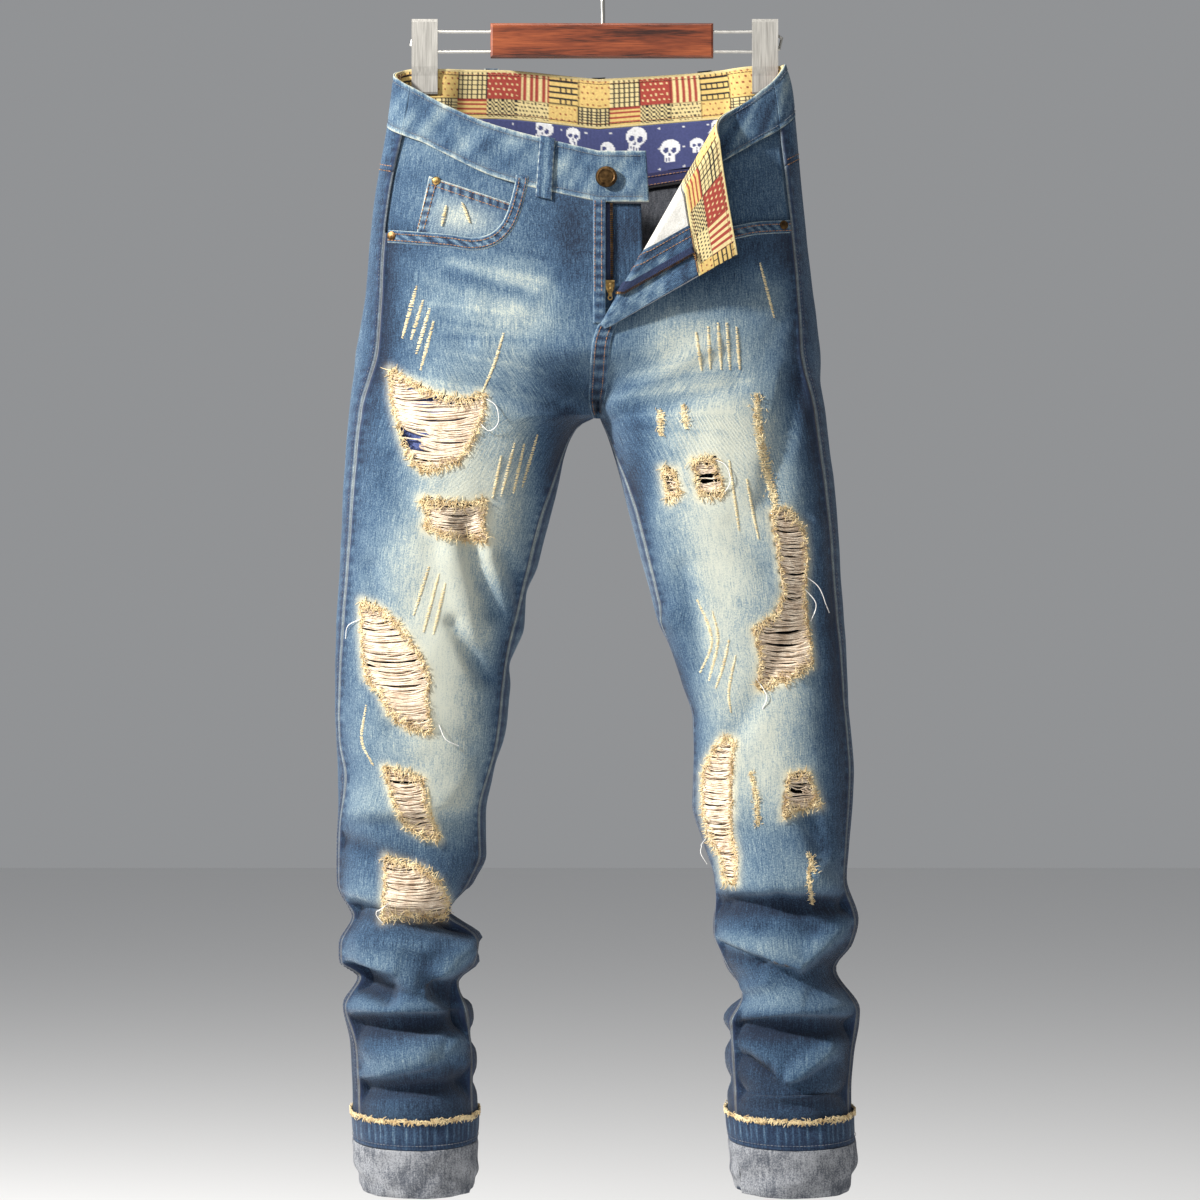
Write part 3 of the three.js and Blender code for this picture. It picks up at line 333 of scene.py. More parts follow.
# the cloth's outer face, with its creases, and a groove along each seam
def cloth(side, w, z, h=0.0):
    w, z = np.broadcast_arrays(np.asarray(w, float), np.asarray(z, float))
    flat = surface(side, w, z)
    fromSeam = np.minimum(np.abs(w), np.where(z < inseamZ, np.abs(np.abs(w) - 1), 1))
    ridge = seam["ridge"] * bell(fromSeam - seam["ridgeAt"], seam["ridgeWidth"])
    ridge = ridge - seam["groove"] * bell(fromSeam, seam["grooveWidth"])
    felled = ridge * ease((seam["topZ"] - z) / seam["fade"]) * ease((z - seam["footZ"]) / seam["fade"])
    return onForm(side, w, z, h + creaseLift(side, w, flat[..., 0], flat[..., 2]) + felled)


tableStep = 1.5
tableX = np.arange(-264, 264, tableStep)
tableZ = np.arange(-1200, -118, tableStep)


def depthTable(side, front):
    rows = np.arange(-116, -1205, -tableStep)
    ways = np.linspace(-0.5, 1.4, 300) if front else np.linspace(-1.3, 0.3, 260)
    grid = cloth(side, ways[None, :], rows[:, None])
    depth, height = np.zeros((len(rows), len(tableX))), np.zeros((len(rows), len(tableX)))
    for i in range(len(rows)):
        p = grid[i]
        keep = p[:, 1] < form["middleY"] - 0.4 if front else p[:, 1] > form["middleY"] + 0.4
        p = p[keep][np.argsort(p[keep][:, 0])]
        depth[i] = np.interp(tableX, p[:, 0], p[:, 1])
        height[i] = np.interp(tableX, p[:, 0], p[:, 2])
    table = np.zeros((len(tableZ), len(tableX)))
    for j in range(len(tableX)):
        order = np.argsort(height[:, j])
        table[:, j] = np.interp(tableZ, height[order, j], depth[order, j])
    return table


depthTables = {(side, front): depthTable(side, front) for side in legs for front in (True, False)}
print("form ready")


def depthAt(side, front, x, z):
    table = depthTables[side, front]
    i = np.clip((z - tableZ[0]) / tableStep, 0, len(tableZ) - 1.001)
    j = np.clip((x - tableX[0]) / tableStep, 0, len(tableX) - 1.001)
    i0, j0 = i.astype(int), j.astype(int)
    s, t = i - i0, j - j0
    low = table[i0, j0] * (1 - t) + table[i0, j0 + 1] * t
    high = table[i0 + 1, j0] * (1 - t) + table[i0 + 1, j0 + 1] * t
    return low * (1 - s) + high * s


# a place on the front or the back, given as it is seen from there, h millimetres off the cloth
def onPanel(side, x, z, h=0.0, front=True):
    x, z = np.broadcast_arrays(np.asarray(x, float), np.asarray(z, float))
    y = depthAt(side, front, x, z)
    dx = (depthAt(side, front, x + 2, z) - depthAt(side, front, x - 2, z)) / 4
    dz = (depthAt(side, front, x, z + 2) - depthAt(side, front, x, z - 2)) / 4
    way = -1 if front else 1
    normal = np.stack([-dx * way, np.full_like(dx, way), -dz * way], -1)
    normal = normal / np.linalg.norm(normal, axis=-1, keepdims=True)
    return np.stack([x, y, z], -1) + normal * np.broadcast_to(np.asarray(h, float), x.shape)[..., None]


def insideOutline(outline, x, z):
    inside = np.zeros(x.shape, bool)
    for (x0, z0), (x1, z1) in zip(outline, outline[1:] + outline[:1]):
        if z0 != z1:
            crosses = (z0 > z) != (z1 > z)
            inside ^= crosses & (x < x0 + (z - z0) * (x1 - x0) / (z1 - z0))
    return inside


def awayFromOutline(outline, x, z):
    least = np.full(x.shape, 1e6)
    for a, b in zip(outline, outline[1:] + outline[:1]):
        least = np.minimum(least, nearLine(x, z, [*a, *b]))
    return least


# materials
def newMaterial(name, roughness=0.9, metallic=0.0):
    material = bpy.data.materials.new(name)
    material.use_nodes = True
    shader = material.node_tree.nodes["Principled BSDF"]
    shader.inputs["Roughness"].default_value = roughness
    shader.inputs["Metallic"].default_value = metallic
    return material, shader


def node(material, kind, **values):
    made = material.node_tree.nodes.new(kind)
    for key, value in values.items():
        if key in made.inputs:
            made.inputs[key].default_value = value
        else:
            setattr(made, key, value)
    return made


def link(material, start, end):
    material.node_tree.links.new(start, end)


def rgb(red, green, blue):
    linear = [c / 255 / 12.92 if c < 10 else ((c / 255 + 0.055) / 1.055) ** 2.4 for c in (red, green, blue)]
    return (*linear, 1.0)


def noiseOn(material, source, scale, detail=3.0, stretch=(1, 1, 1), roughness=0.55):
    mapping = node(material, "ShaderNodeMapping")
    mapping.inputs["Scale"].default_value = stretch
    link(material, source, mapping.inputs["Vector"])
    noise = node(material, "ShaderNodeTexNoise", Scale=scale, Detail=detail, Roughness=roughness)
    link(material, mapping.outputs["Vector"], noise.inputs["Vector"])
    return noise.outputs["Fac"]


def twillOn(material, source, pitch, angle=0.7, distortion=0.6):
    mapping = node(material, "ShaderNodeMapping")
    mapping.inputs["Rotation"].default_value = (0, 0, angle)
    link(material, source, mapping.inputs["Vector"])
    wave = node(material, "ShaderNodeTexWave", wave_type="BANDS", bands_direction="X", wave_profile="SIN")
    wave.inputs["Scale"].default_value = 0.314 / pitch
    wave.inputs["Distortion"].default_value = distortion
    wave.inputs["Detail"].default_value = 2.0
    wave.inputs["Detail Scale"].default_value = 1.5
    link(material, mapping.outputs["Vector"], wave.inputs["Vector"])
    return wave.outputs["Fac"]


def sumOf(material, first, second, share, clamp=False):
    # first + (second - 0.5) * share
    centred = node(material, "ShaderNodeMath", operation="MULTIPLY_ADD")
    centred.inputs[1].default_value = share
    centred.inputs[2].default_value = -share / 2
    link(material, second, centred.inputs[0])
    total = node(material, "ShaderNodeMath", operation="ADD", use_clamp=clamp)
    link(material, first, total.inputs[0])
    link(material, centred.outputs[0], total.inputs[1])
    return total.outputs[0]


def rampOf(material, fac, stops):
    ramp = node(material, "ShaderNodeValToRGB")
    while len(ramp.color_ramp.elements) < len(stops):
        ramp.color_ramp.elements.new(0.5)
    for element, (at, colour) in zip(ramp.color_ramp.elements, stops):
        element.position = at
        element.color = colour
    link(material, fac, ramp.inputs["Fac"])
    return ramp.outputs["Color"]


def mixOf(material, fac, first, second, blend="MIX"):
    mixer = node(material, "ShaderNodeMix", data_type="RGBA", blend_type=blend)
    if isinstance(fac, float):
        mixer.inputs[0].default_value = fac
    else:
        link(material, fac, mixer.inputs[0])
    for socket, value in ((mixer.inputs[6], first), (mixer.inputs[7], second)):
        if isinstance(value, tuple):
            socket.default_value = value
        else:
            link(material, value, socket)
    return mixer.outputs[2]


def colourFrom(material, shader, fac, stops):
    link(material, rampOf(material, fac, stops), shader.inputs["Base Color"])


def bumpFrom(material, shader, height, strength, distance):
    bump = node(material, "ShaderNodeBump", Strength=strength, Distance=distance)
    link(material, height, bump.inputs["Height"])
    link(material, bump.outputs["Normal"], shader.inputs["Normal"])


def attributeOf(material, name):
    return node(material, "ShaderNodeAttribute", attribute_name=name)


def uvOf(material):
    return node(material, "ShaderNodeUVMap", uv_map="cut").outputs["UV"]


def objectOf(material):
    return node(material, "ShaderNodeTexCoord").outputs["Object"]


# washed denim: the wear attribute holds how far it has faded (on the front panels with painted highlight and
# painted shade worked in), how dark a seam is and how yellow it is
def makeDenim():
    dark, mid, light, pale = (18, 30, 50), (56, 84, 112), (122, 142, 152), (192, 195, 181)
    material, shader = newMaterial("washed denim", 0.92)
    shader.inputs["Specular IOR Level"].default_value = 0.25
    shader.inputs["Sheen Weight"].default_value = 0.12
    cut, place = uvOf(material), objectOf(material)
    wear = attributeOf(material, "wear")
    parts = node(material, "ShaderNodeSeparateColor")
    link(material, wear.outputs["Color"], parts.inputs["Color"])
    fade = sumOf(material, parts.outputs["Red"], noiseOn(material, place, 22, 5), 0.34)
    fade = sumOf(material, fade, noiseOn(material, cut, 420, 3, (1.6, 0.16, 1)), 0.7)
    fade = sumOf(material, fade, noiseOn(material, place, 800, 2), 0.75)
    twill = twillOn(material, cut, 0.0011)
    fade = sumOf(material, fade, twill, 0.2, True)
    stops = [(0.0, rgb(*dark)), (0.34, rgb(*mid)), (0.66, rgb(*light)), (0.96, rgb(*pale))]
    colour = rampOf(material, fade, stops)
    colour = mixOf(material, parts.outputs["Blue"], colour, rgb(222, 200, 150))
    colour = mixOf(material, parts.outputs["Green"], colour, rgb(30, 46, 76))
    link(material, colour, shader.inputs["Base Color"])
    grain = sumOf(material, twill, noiseOn(material, place, 1300, 2), 1.2)
    bumpFrom(material, shader, grain, 0.55, 0.0005)
    return material


def makeInside(name, low, high, scale=900, blotch=0.1):
    material, shader = newMaterial(name, 0.95)
    shader.inputs["Specular IOR Level"].default_value = 0.2
    cut, place = uvOf(material), objectOf(material)
    twill = twillOn(material, cut, 0.0011, -0.7)
    streaks = noiseOn(material, cut, 160, 2, (2, 0.3, 1))
    fac = sumOf(material, noiseOn(material, place, scale, 2), streaks, 0.6)
    fac = sumOf(material, fac, noiseOn(material, place, 34, 4), blotch)
    fac = sumOf(material, fac, twill, 0.3, True)
    colourFrom(material, shader, fac, [(0.3, rgb(*low)), (0.7, rgb(*high))])
    bumpFrom(material, shader, fac, 0.5, 0.0005)
    return material


# a printed cotton, its colour from the print attribute, with a plain weave
def makePrinted():
    material, shader = newMaterial("printed cotton", 0.88)
    shader.inputs["Specular IOR Level"].default_value = 0.25
    shader.inputs["Sheen Weight"].default_value = 0.1
    cut, place = uvOf(material), objectOf(material)
    warp = twillOn(material, cut, 0.0007, 0, 0.3)
    weave = sumOf(material, warp, twillOn(material, cut, 0.0007, 1.5708, 0.3), 1.0)
    colour = attributeOf(material, "print").outputs["Color"]
    shades = [(0.3, (0.72, 0.72, 0.72, 1)), (0.7, (1, 1, 1, 1))]
    soft = rampOf(material, noiseOn(material, place, 500, 3), shades)
    link(material, mixOf(material, 0.8, colour, soft, "MULTIPLY"), shader.inputs["Base Color"])
    bumpFrom(material, shader, weave, 0.35, 0.0003)
    return material


def makeThread(name, low, high):
    material, shader = newMaterial(name, 0.85)
    shader.inputs["Sheen Weight"].default_value = 0.2
    place = objectOf(material)
    fac = sumOf(material, noiseOn(material, place, 130, 2), noiseOn(material, place, 900, 2), 0.7, True)
    colourFrom(material, shader, fac, [(0.3, rgb(*low)), (0.66, rgb(*high))])
    bumpFrom(material, shader, noiseOn(material, place, 2200, 2), 0.4, 0.0003)
    return material


def makeMetal(name, low, high, roughness, scale, stretch=(1, 1, 1), metallic=1.0):
    material, shader = newMaterial(name, roughness, metallic)
    place = objectOf(material)
    fac = noiseOn(material, place, scale, 4, stretch)
    colourFrom(material, shader, fac, [(0.3, rgb(*low)), (0.7, rgb(*high))])
    smooth, rough = ((roughness + more,) * 3 + (1,) for more in (-0.1, 0.15))
    rough = rampOf(material, fac, [(0.2, smooth), (0.8, rough)])
    link(material, rough, shader.inputs["Roughness"])
    bumpFrom(material, shader, fac, 0.15, 0.0004)
    return material


def makeWood():
    material, shader = newMaterial("reddish wood", 0.42)
    shader.inputs["Coat Weight"].default_value = 0.25
    shader.inputs["Coat Roughness"].default_value = 0.25
    place = objectOf(material)
    grain = noiseOn(material, place, 60, 6, (0.12, 1, 1.6), 0.65)
    pores = noiseOn(material, place, 900, 2, (0.06, 1, 1))
    fac = sumOf(material, grain, pores, 0.35, True)
    stops = [(0.32, rgb(46, 20, 12)), (0.46, rgb(112, 52, 28)), (0.72, rgb(160, 84, 46))]
    colourFrom(material, shader, fac, stops)
    bumpFrom(material, shader, fac, 0.2, 0.0006)
    return material


finish = {
    "denim": makeDenim(),
    "darkDenim": makeInside("dark denim", (44, 54, 96), (96, 108, 154)),
    "inside": makeInside("denim inside", (120, 124, 132), (190, 192, 196)),
    # the same wrong side of the denim as the inside above, painted dark grey as shade for where it lies
    # inside the legs and seat
    "shadedInside": makeInside("wrong side in painted shade", (52, 54, 60), (96, 98, 104)),
    "print": makePrinted(),
    "cotton": makeInside("white cotton", (176, 174, 168), (212, 210, 204)),
    "tape": makeInside("zip tape", (22, 28, 46), (46, 56, 84)),
    "weft": makeThread("cream weft", (198, 174, 148), (240, 224, 202)),
    "fringe": makeThread("yellow fringe", (176, 146, 98), (240, 220, 174)),
    "scratch": makeThread("cream scratches", (196, 176, 132), (232, 218, 178)),
    "stitch": makeThread("brown stitching", (112, 74, 44), (176, 128, 84)),
    "blueStitch": makeThread("dark stitching", (50, 62, 84), (112, 116, 120)),
    "white": makeThread("white thread", (216, 214, 208), (250, 248, 244)),
    "brass": makeMetal("antique brass", (52, 38, 26), (120, 92, 58), 0.36, 240),
    "brightBrass": makeMetal("worn brass", (140, 108, 62), (214, 180, 116), 0.3, 300),
    "steel": makeMetal("brushed steel", (176, 174, 168), (210, 207, 200), 0.34, 260, (1, 1, 0.05)),
    "clip": makeMetal("clip plate", (150, 147, 141), (190, 187, 180), 0.42, 900, (1, 1, 0.04), 0.3),
    "wood": makeWood(),
}
print("materials ready")


# pieces
def finishPiece(bm, name, materials, replaced=(), smooth=True):
    mesh = bpy.data.meshes.new(name)
    bm.to_mesh(mesh)
    bm.free()
    piece = bpy.data.objects.new(name, mesh)
    bpy.context.scene.collection.objects.link(piece)
    for material in materials:
        mesh.materials.append(material)
    if smooth:
        mesh.shade_smooth()
    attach(piece, "root")
    if replaced:
        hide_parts(*replaced)
    return piece


# a piece of cloth from a grid: place(u, v) gives the outer face, wear(u, v, points) its attribute
def clothPiece(name, place, grid, cutSize, outer, slot, replaced=(), inner=None, thickness=1.2, cut=None,
               wear=None, attribute="wear", closed=False, spread=None):
    bm = bmesh.new()
    bm.loops.layers.uv.new("cut")
    bmesh.ops.create_grid(bm, x_segments=grid[0], y_segments=grid[1], size=0.5, calc_uvs=True)
    flat = np.array([v.co[:2] for v in bm.verts]) + 0.5
    spread = spread or (lambda u: u)
    flat[:, 0] = spread(flat[:, 0])
    points = place(flat[:, 0], flat[:, 1])
    for vertex, at in zip(bm.verts, points * mm):
        vertex.co = at
    uv = bm.loops.layers.uv["cut"]
    for face in bm.faces:
        for loop in face.loops:
            loop[uv].uv = (spread(loop[uv].uv[0]) * cutSize[0], loop[uv].uv[1] * cutSize[1])
    lay = bm.verts.layers.float_color.new(attribute)
    if wear is not None:
        for vertex, value in zip(bm.verts, wear(flat[:, 0], flat[:, 1], points)):
            vertex[lay] = (*value, 1.0)
    raised = place(flat[:, 0], flat[:, 1], 1.0) - points
    bm.normal_update()
    bm.verts.ensure_lookup_table()
    agree = sum(v.normal.dot(Vector(raised[i])) for i, v in enumerate(bm.verts) if i % 7 == 0)
    if agree < 0:
        bmesh.ops.reverse_faces(bm, faces=bm.faces)
    if cut is not None:
        middles = np.array([f.calc_center_median()[:] for f in bm.faces]) / mm
        goes = cut(middles[:, 0], middles[:, 1], middles[:, 2])
        bmesh.ops.delete(bm, geom=[f for f, out in zip(bm.faces, goes) if out], context="FACES")
    if closed:
        bmesh.ops.remove_doubles(bm, verts=bm.verts, dist=0.00002)
    materials = [outer] if inner is None else [outer, inner]
    piece = finishPiece(bm, name, materials, replaced)
    shell = piece.modifiers.new("cloth", "SOLIDIFY")
    shell.thickness = thickness * mm
    shell.offset = -1
    shell.material_offset = 0 if inner is None else 1
    return piece


# washed denim on its outer face
def denimPiece(name, place, grid, cutSize, replaced=(), inner=None, **settings):
    return clothPiece(name, place, grid, cutSize, finish["denim"], "washed_denim", replaced, inner,
                      **settings)


# threads and stitches: every line is a small tube of its own
def threadPiece(name, lines, radius, material):
    curve = bpy.data.curves.new(name, "CURVE")
    curve.dimensions = "3D"
    curve.bevel_depth = radius * mm
    curve.bevel_resolution = 0
    curve.use_fill_caps = True
    for points, widths in lines:
        spline = curve.splines.new("POLY")
        spline.points.add(len(points) - 1)
        full = np.concatenate([np.asarray(points) * mm, np.ones((len(points), 1))], 1)
        spline.points.foreach_set("co", full.ravel())
        radii = np.broadcast_to(np.asarray(widths, float), (len(points),)).copy()
        spline.points.foreach_set("radius", radii)
    helper = bpy.data.objects.new(name + ".line", curve)
    bm = bmesh.new()
    bm.from_mesh(bpy.data.meshes.new_from_object(helper))
    bpy.data.objects.remove(helper)
    bmesh.ops.recalc_face_normals(bm, faces=bm.faces)
    return finishPiece(bm, name, [material])


def closerAtSeams(u):
    return u - 0.6 * np.sin(2 * math.pi * u) / (2 * math.pi)


def mixOver(a, b, t):
    return a + (b - a) * t


def smoothPath(points, step=2.0):
    # a rounded path through a few places, with even steps
    p = np.array(points, float)
    ends = np.vstack([2 * p[0] - p[1], p, 2 * p[-1] - p[-2]])
    out = []
    for i in range(1, len(ends) - 2):
        count = max(2, int(np.linalg.norm(ends[i + 1] - ends[i]) / step))
        t = np.linspace(0, 1, count, endpoint=False)[:, None]
        a, b, c, d = ends[i - 1:i + 3]
        bend = (2 * a - 5 * b + 4 * c - d) * t**2 + (3 * b - a - 3 * c + d) * t**3
        out.append(0.5 * (2 * b + (c - a) * t + bend))
    return np.vstack(out + [p[-1:]])


def evenly(path, step):
    gaps = np.linalg.norm(np.diff(path, axis=0), axis=1)
    run = np.concatenate([[0], np.cumsum(gaps)])
    at = np.arange(0, run[-1], step)
    return np.stack([np.interp(at, run, path[:, k]) for k in range(path.shape[1])], 1)


# a row of stitches along a path of places in space
def stitchesAlong(path, pitch=3.4, length=2.3):
    lines = []
    even = evenly(path, pitch / 4)
    count = max(2, round(length / (pitch / 4)) + 1)
    for i in range(0, len(even) - count, 4):
        part = even[i:i + count]
        lines.append((part[[0, len(part) // 2, -1]], [0.55, 1.0, 0.55]))
    return lines


# how far the denim has faded
# x, z, reach across, reach up and down, strength
wornPlaces = {
    "right": [[-82, -368, 46, 40, 0.3], [-150, -345, 34, 34, 0.2], [-108, -500, 60, 70, 0.26],
              [-118, -570, 62, 66, 0.3], [-148, -650, 52, 90, 0.36], [-150, -750, 44, 60, 0.28],
              [-172, -700, 30, 60, 0.12], [-150, -820, 40, 44, 0.2], [-60, -330, 50, 28, 0.12],
              [-140, -215, 60, 12, 0.12], [-128, -268, 34, 18, 0.2], [-175, -945, 40, 12, 0.14],
              [-160, -1045, 46, 14, 0.1], [-160, -440, 40, 26, 0.16]],
    "left": [[82, -392, 50, 30, 0.34], [104, -470, 54, 60, 0.36], [116, -560, 60, 74, 0.36],
             [104, -650, 40, 60, 0.2], [140, -720, 52, 70, 0.36], [150, -800, 44, 50, 0.3],
             [150, -345, 40, 30, 0.14], [160, -940, 44, 12, 0.14], [165, -985, 40, 14, 0.14],
             [160, -1045, 44, 12, 0.1], [44, -430, 30, 20, 0.12], [160, -480, 24, 40, 0.1]],
    "back": [[95, -330, 60, 60, 0.35], [120, -560, 50, 120, 0.3], [150, -760, 44, 90, 0.22]],
}
# places painted darker, listed like the worn ones: the one at 100, -310 is the painted shadow of the
# turned-back corner, and the two down the outer side of the left leg (x 196 and 214) are painted shade on
# the side away from the key light; the rest make the cloth itself darker
darkAndShadedPlaces = {
    "right": [[-40, -500, 24, 70, 0.34], [-205, -420, 22, 130, 0.2], [-180, -300, 30, 16, 0.12],
              [-30, -300, 20, 60, 0.2], [-84, -690, 16, 110, 0.2]],
    "left": [[30, -520, 18, 80, 0.28], [196, -420, 20, 180, 0.3], [72, -700, 18, 90, 0.3],
             [214, -700, 16, 130, 0.3], [100, -310, 90, 26, 0.2]],
}
# x, z of each end, half width, strength
whiskers = {
    "right": [[-141, -331, -64, -352, 8, -0.22], [-143, -318, -52, -338, 4, 0.16],
              [-127, -326, -60, -345, 3, 0.11], [-160, -356, -86, -366, 2.5, 0.1],
              [-150, -400, -52, -420, 3, 0.11], [-182, -424, -56, -446, 2.5, 0.1],
              [-140, -388, -60, -392, 3, -0.1], [-120, -300, -50, -316, 3, -0.1],
              [-150, -372, -90, -382, 2.5, -0.1], [-70, -470, -20, -440, 3, 0.08]],
    "left": [[2, -444, 134, -428, 3, 0.11], [20, -424, 120, -404, 2.5, 0.1],
             [14, -460, 120, -456, 2.5, 0.09], [20, -434, 124, -416, 2.5, -0.1],
             [30, -470, 110, -476, 2.5, -0.1]],
}
fadeByHeight = [[-130, 0.32], [-200, 0.32], [-300, 0.32], [-420, 0.37], [-560, 0.42], [-780, 0.4],
                [-850, 0.3], [-930, 0.17], [-1171, 0.12]]

rips = {
    "right": {
        "thigh": [[-195, -417], [-172, -431], [-150, -442], [-124, -446], [-109, -440], [-109, -458],
                  [-122, -490], [-131, -502], [-163, -512], [-178, -498], [-187, -470], [-193, -444]],
        "thighFoot": [[-166, -536], [-124, -541], [-107, -536], [-110, -556], [-106, -575], [-140, -571],
                      [-163, -562], [-159, -550]],
        "knee": [[-221, -629], [-207, -634], [-188, -650], [-168, -678], [-159, -697], [-161, -722],
                 [-158, -750], [-179, -745], [-196, -731], [-204, -713], [-217, -699], [-221, -660]],
        "shinTop": [[-200, -781], [-165, -791], [-162, -816], [-150, -848], [-166, -843], [-181, -834],
                    [-191, -812]],
        "shin": [[-199, -863], [-167, -873], [-150, -886], [-142, -905], [-145, -920], [-187, -917],
                 [-202, -921], [-199, -890]],
    },
    "left": {
        "thighSlit": [[54, -508], [65, -510], [70, -532], [60, -538]],
        "thighWindow": [[82, -501], [101, -499], [110, -532], [89, -534]],
        "outerThigh": [[154, -548], [168, -546], [183, -562], [186, -590], [184, -628], [188, -660],
                       [191, -688], [165, -703], [142, -710], [145, -680], [138, -655], [158, -641],
                       [166, -622], [162, -592]],
        "innerCalf": [[110, -754], [120, -757], [117, -790], [117, -840], [122, -862], [121, -888],
                      [112, -888], [108, -864], [97, -846], [92, -820], [92, -790], [96, -776]],
        "outerCalf": [[170, -789], [187, -786], [199, -817], [181, -820], [165, -827]],
    },
}


def patchAt(x, z, place):
    px, pz, across, down = place[:4]
    return np.exp(-(((x - px) / across) ** 2) - (((z - pz) / down) ** 2))


def fadeAndShadeAt(side, w, x, z, back=False):
    fade = along(fadeByHeight, z)
    mirrored = np.abs(x - form["centreX"])
    if back:
        for place in wornPlaces["back"]:
            fade = fade + place[4] * patchAt(mirrored, z, place)
    else:
        for place in wornPlaces[side]:
            fade = fade + 1.25 * place[4] * patchAt(x, z, place)
        # the darker places are taken off here, among them a painted shadow and painted shade
        for place in darkAndShadedPlaces[side]:
            fade = fade - 1.2 * place[4] * patchAt(x, z, place)
        for line in whiskers[side]:
            fade = fade + line[5] * bell(nearLine(x, z, line), line[4])
        # fold crests are painted paler and crease hollows darker: partly wear on the crests, partly painted
        # highlight on them and painted shade in the hollows
        fade = fade + 0.024 * foldHeight(side, x, z) + 0.032 * np.minimum(0, creaseLift(side, w, x, z))
    edge = np.minimum(np.abs(w), np.where(z < inseamZ, 1 - np.abs(w), 1))
    return fade - 0.2 * bell(edge, 0.09)


# faded, darkened and yellowed, in that order
def wearOf(fade, dark=0.0, yellow=0.0):
    return np.stack(np.broadcast_arrays(np.clip(fade, 0, 1), dark, yellow), -1)


# on the fronts the fade also carries painted highlight and painted shade from the folds, creases and shaded
# places
def panelWearAndShade(side, back=False):
    def wear(u, v, points):
        w, x, z = -u if back else u, points[:, 0], points[:, 2]
        fade = fadeAndShadeAt(side, w, x, z, back)
        fromSeam = np.minimum(np.abs(w), np.where(z < -425, 1 - np.abs(w), 1))
        pucker = halfWave(z / 1.7 + 2.2 * np.sin(z / 11))
        band = bell(fromSeam - 0.03, 0.024)
        pale = bell(fromSeam - 0.004, 0.007)
        fade = fade + band * (pucker - 0.5) * 0.24 + 0.34 * pale
        dark = band * 0.2 * (1 - pucker * 0.8) + 0.7 * bell(fromSeam - 0.02, 0.007)
        yellow = 0.16 * pale
        if not back:
            for outline in rips[side].values():
                near = bell(awayFromOutline(outline, x, z), 5.0)
                fade = fade + 0.3 * near
                yellow = yellow + 0.35 * near
        return wearOf(fade, np.clip(dark, 0, 1), np.clip(yellow, 0, 1))
    return wear


panel = {"across": 86, "down": 390, "backAcross": 54, "backDown": 220, "top": -190, "reach": 130}
mouths = {
    "right": [[-230, -294], [-196, -290], [-150, -293], [-120, -298], [-100, -294], [-86, -276],
              [-78, -245], [-76, -215], [-76, -170], [-230, -170]],
    "left": [[225, -284], [168, -280], [130, -284], [100, -289], [80, -284], [68, -262], [62, -230],
             [62, -165], [225, -165]],
}


def panelHeight(v, top):
    row = mixOver(panel["top"], form["legEndZ"], v)
    return row + (top - panel["top"]) * np.clip(1 - (panel["top"] - row) / panel["reach"], 0, 1)


def frontPlace(side):
    def place(u, v, h=0.0):
        z = panelHeight(v, bandFoot(side, u) - 0.3)
        points = cloth(side, u, z, h)
        if side == "left":
            points = stopAtFold(points, h)
        return points
    return place


# the left front ends on the line that its top corner is turned back about
def stopAtFold(points, h):
    up, over = fromFold(points[:, 0], points[:, 2])
    beyond = (over > 0) & (up > 0)
    x = form["centreX"] + up * turnAxis[0]
    z = fly["footZ"] + up * turnAxis[1]
    onLine = np.stack([x, leftFrontY(x, z) - h, z], -1)
    blend = np.exp(-np.maximum(-over, 0) / 6)[:, None] * (up > 0)[:, None]
    exact = points.copy()
    exact[:, 1] = leftFrontY(points[:, 0], points[:, 2]) - h
    soft = points + (exact - points) * blend
    return np.where(beyond[:, None], onLine, soft)


def frontCut(side):
    def cut(x, y, z):
        goes = insideOutline(mouths[side], x, z)
        for outline in rips[side].values():
            jagX, jagZ = 1.1 * np.sin(z / 1.9 + x / 7), 1.3 * np.sin(x / 1.7 + z / 9)
            goes |= insideOutline(outline, x + jagX, z + jagZ)
        if side == "left":
            goes |= pastFold(x, y, z)
        return goes
    return cut


for side in ("right", "left"):
    frontCloth = denimPiece(
        f"front_{side}_cloth", frontPlace(side), (panel["across"], panel["down"]), (0.3, 0.98),
        [f"front_{side}"], finish["shadedInside"], cut=frontCut(side), spread=closerAtSeams,
        wear=panelWearAndShade(side))

    def seatPlace(u, v, h=0.0, side=side):
        return cloth(side, -u, panelHeight(v, yokeFoot(side, -u) - 0.3), h)

    backCloth = denimPiece(
        f"back_{side}_cloth", seatPlace, (panel["backAcross"], panel["backDown"]), (0.36, 0.95),
        [f"back_{side}"], finish["shadedInside"], spread=closerAtSeams, wear=panelWearAndShade(side, True))

    def yokePlace(u, v, h=0.0, side=side):
        return cloth(side, -u, mixOver(bandFoot(side, -u) - 0.3, yokeFoot(side, -u), v), h)

    yokeCloth = denimPiece(f"yoke_{side}_cloth", yokePlace, (54, 14), (0.2, 0.05), [f"yoke_{side}"],
                           finish["shadedInside"], wear=panelWearAndShade(side, True))
print("fronts, backs and yokes ready")


# the turned-back corner of the left front
flapEnd = edgeShare - 0.002
flapTable = np.linspace(-0.02, flapEnd + 0.001, 240)
flapFoots, flapTops = upTo(bandFoot, flapTable), upTo(bandTop, flapTable)


def flapFoot(share):
    return np.interp(share, flapTable, flapFoots)


def flapTop(share):
    return np.interp(share, flapTable, flapTops)


cornerStand = 11  # how far the tip stands off its own fold


# how the corner swells and dips as it lies, off the flat fold
def flapSoft(share, up):
    t = np.clip(share / flapEnd, 0, 1)
    stand = cornerStand * ease((t - 0.15) / 0.85) * ease(up / 190)
    return stand + 2.6 * np.sin(up / 26 + 1.2) * np.sin(t * math.pi) ** 2 * ease(up / 60)


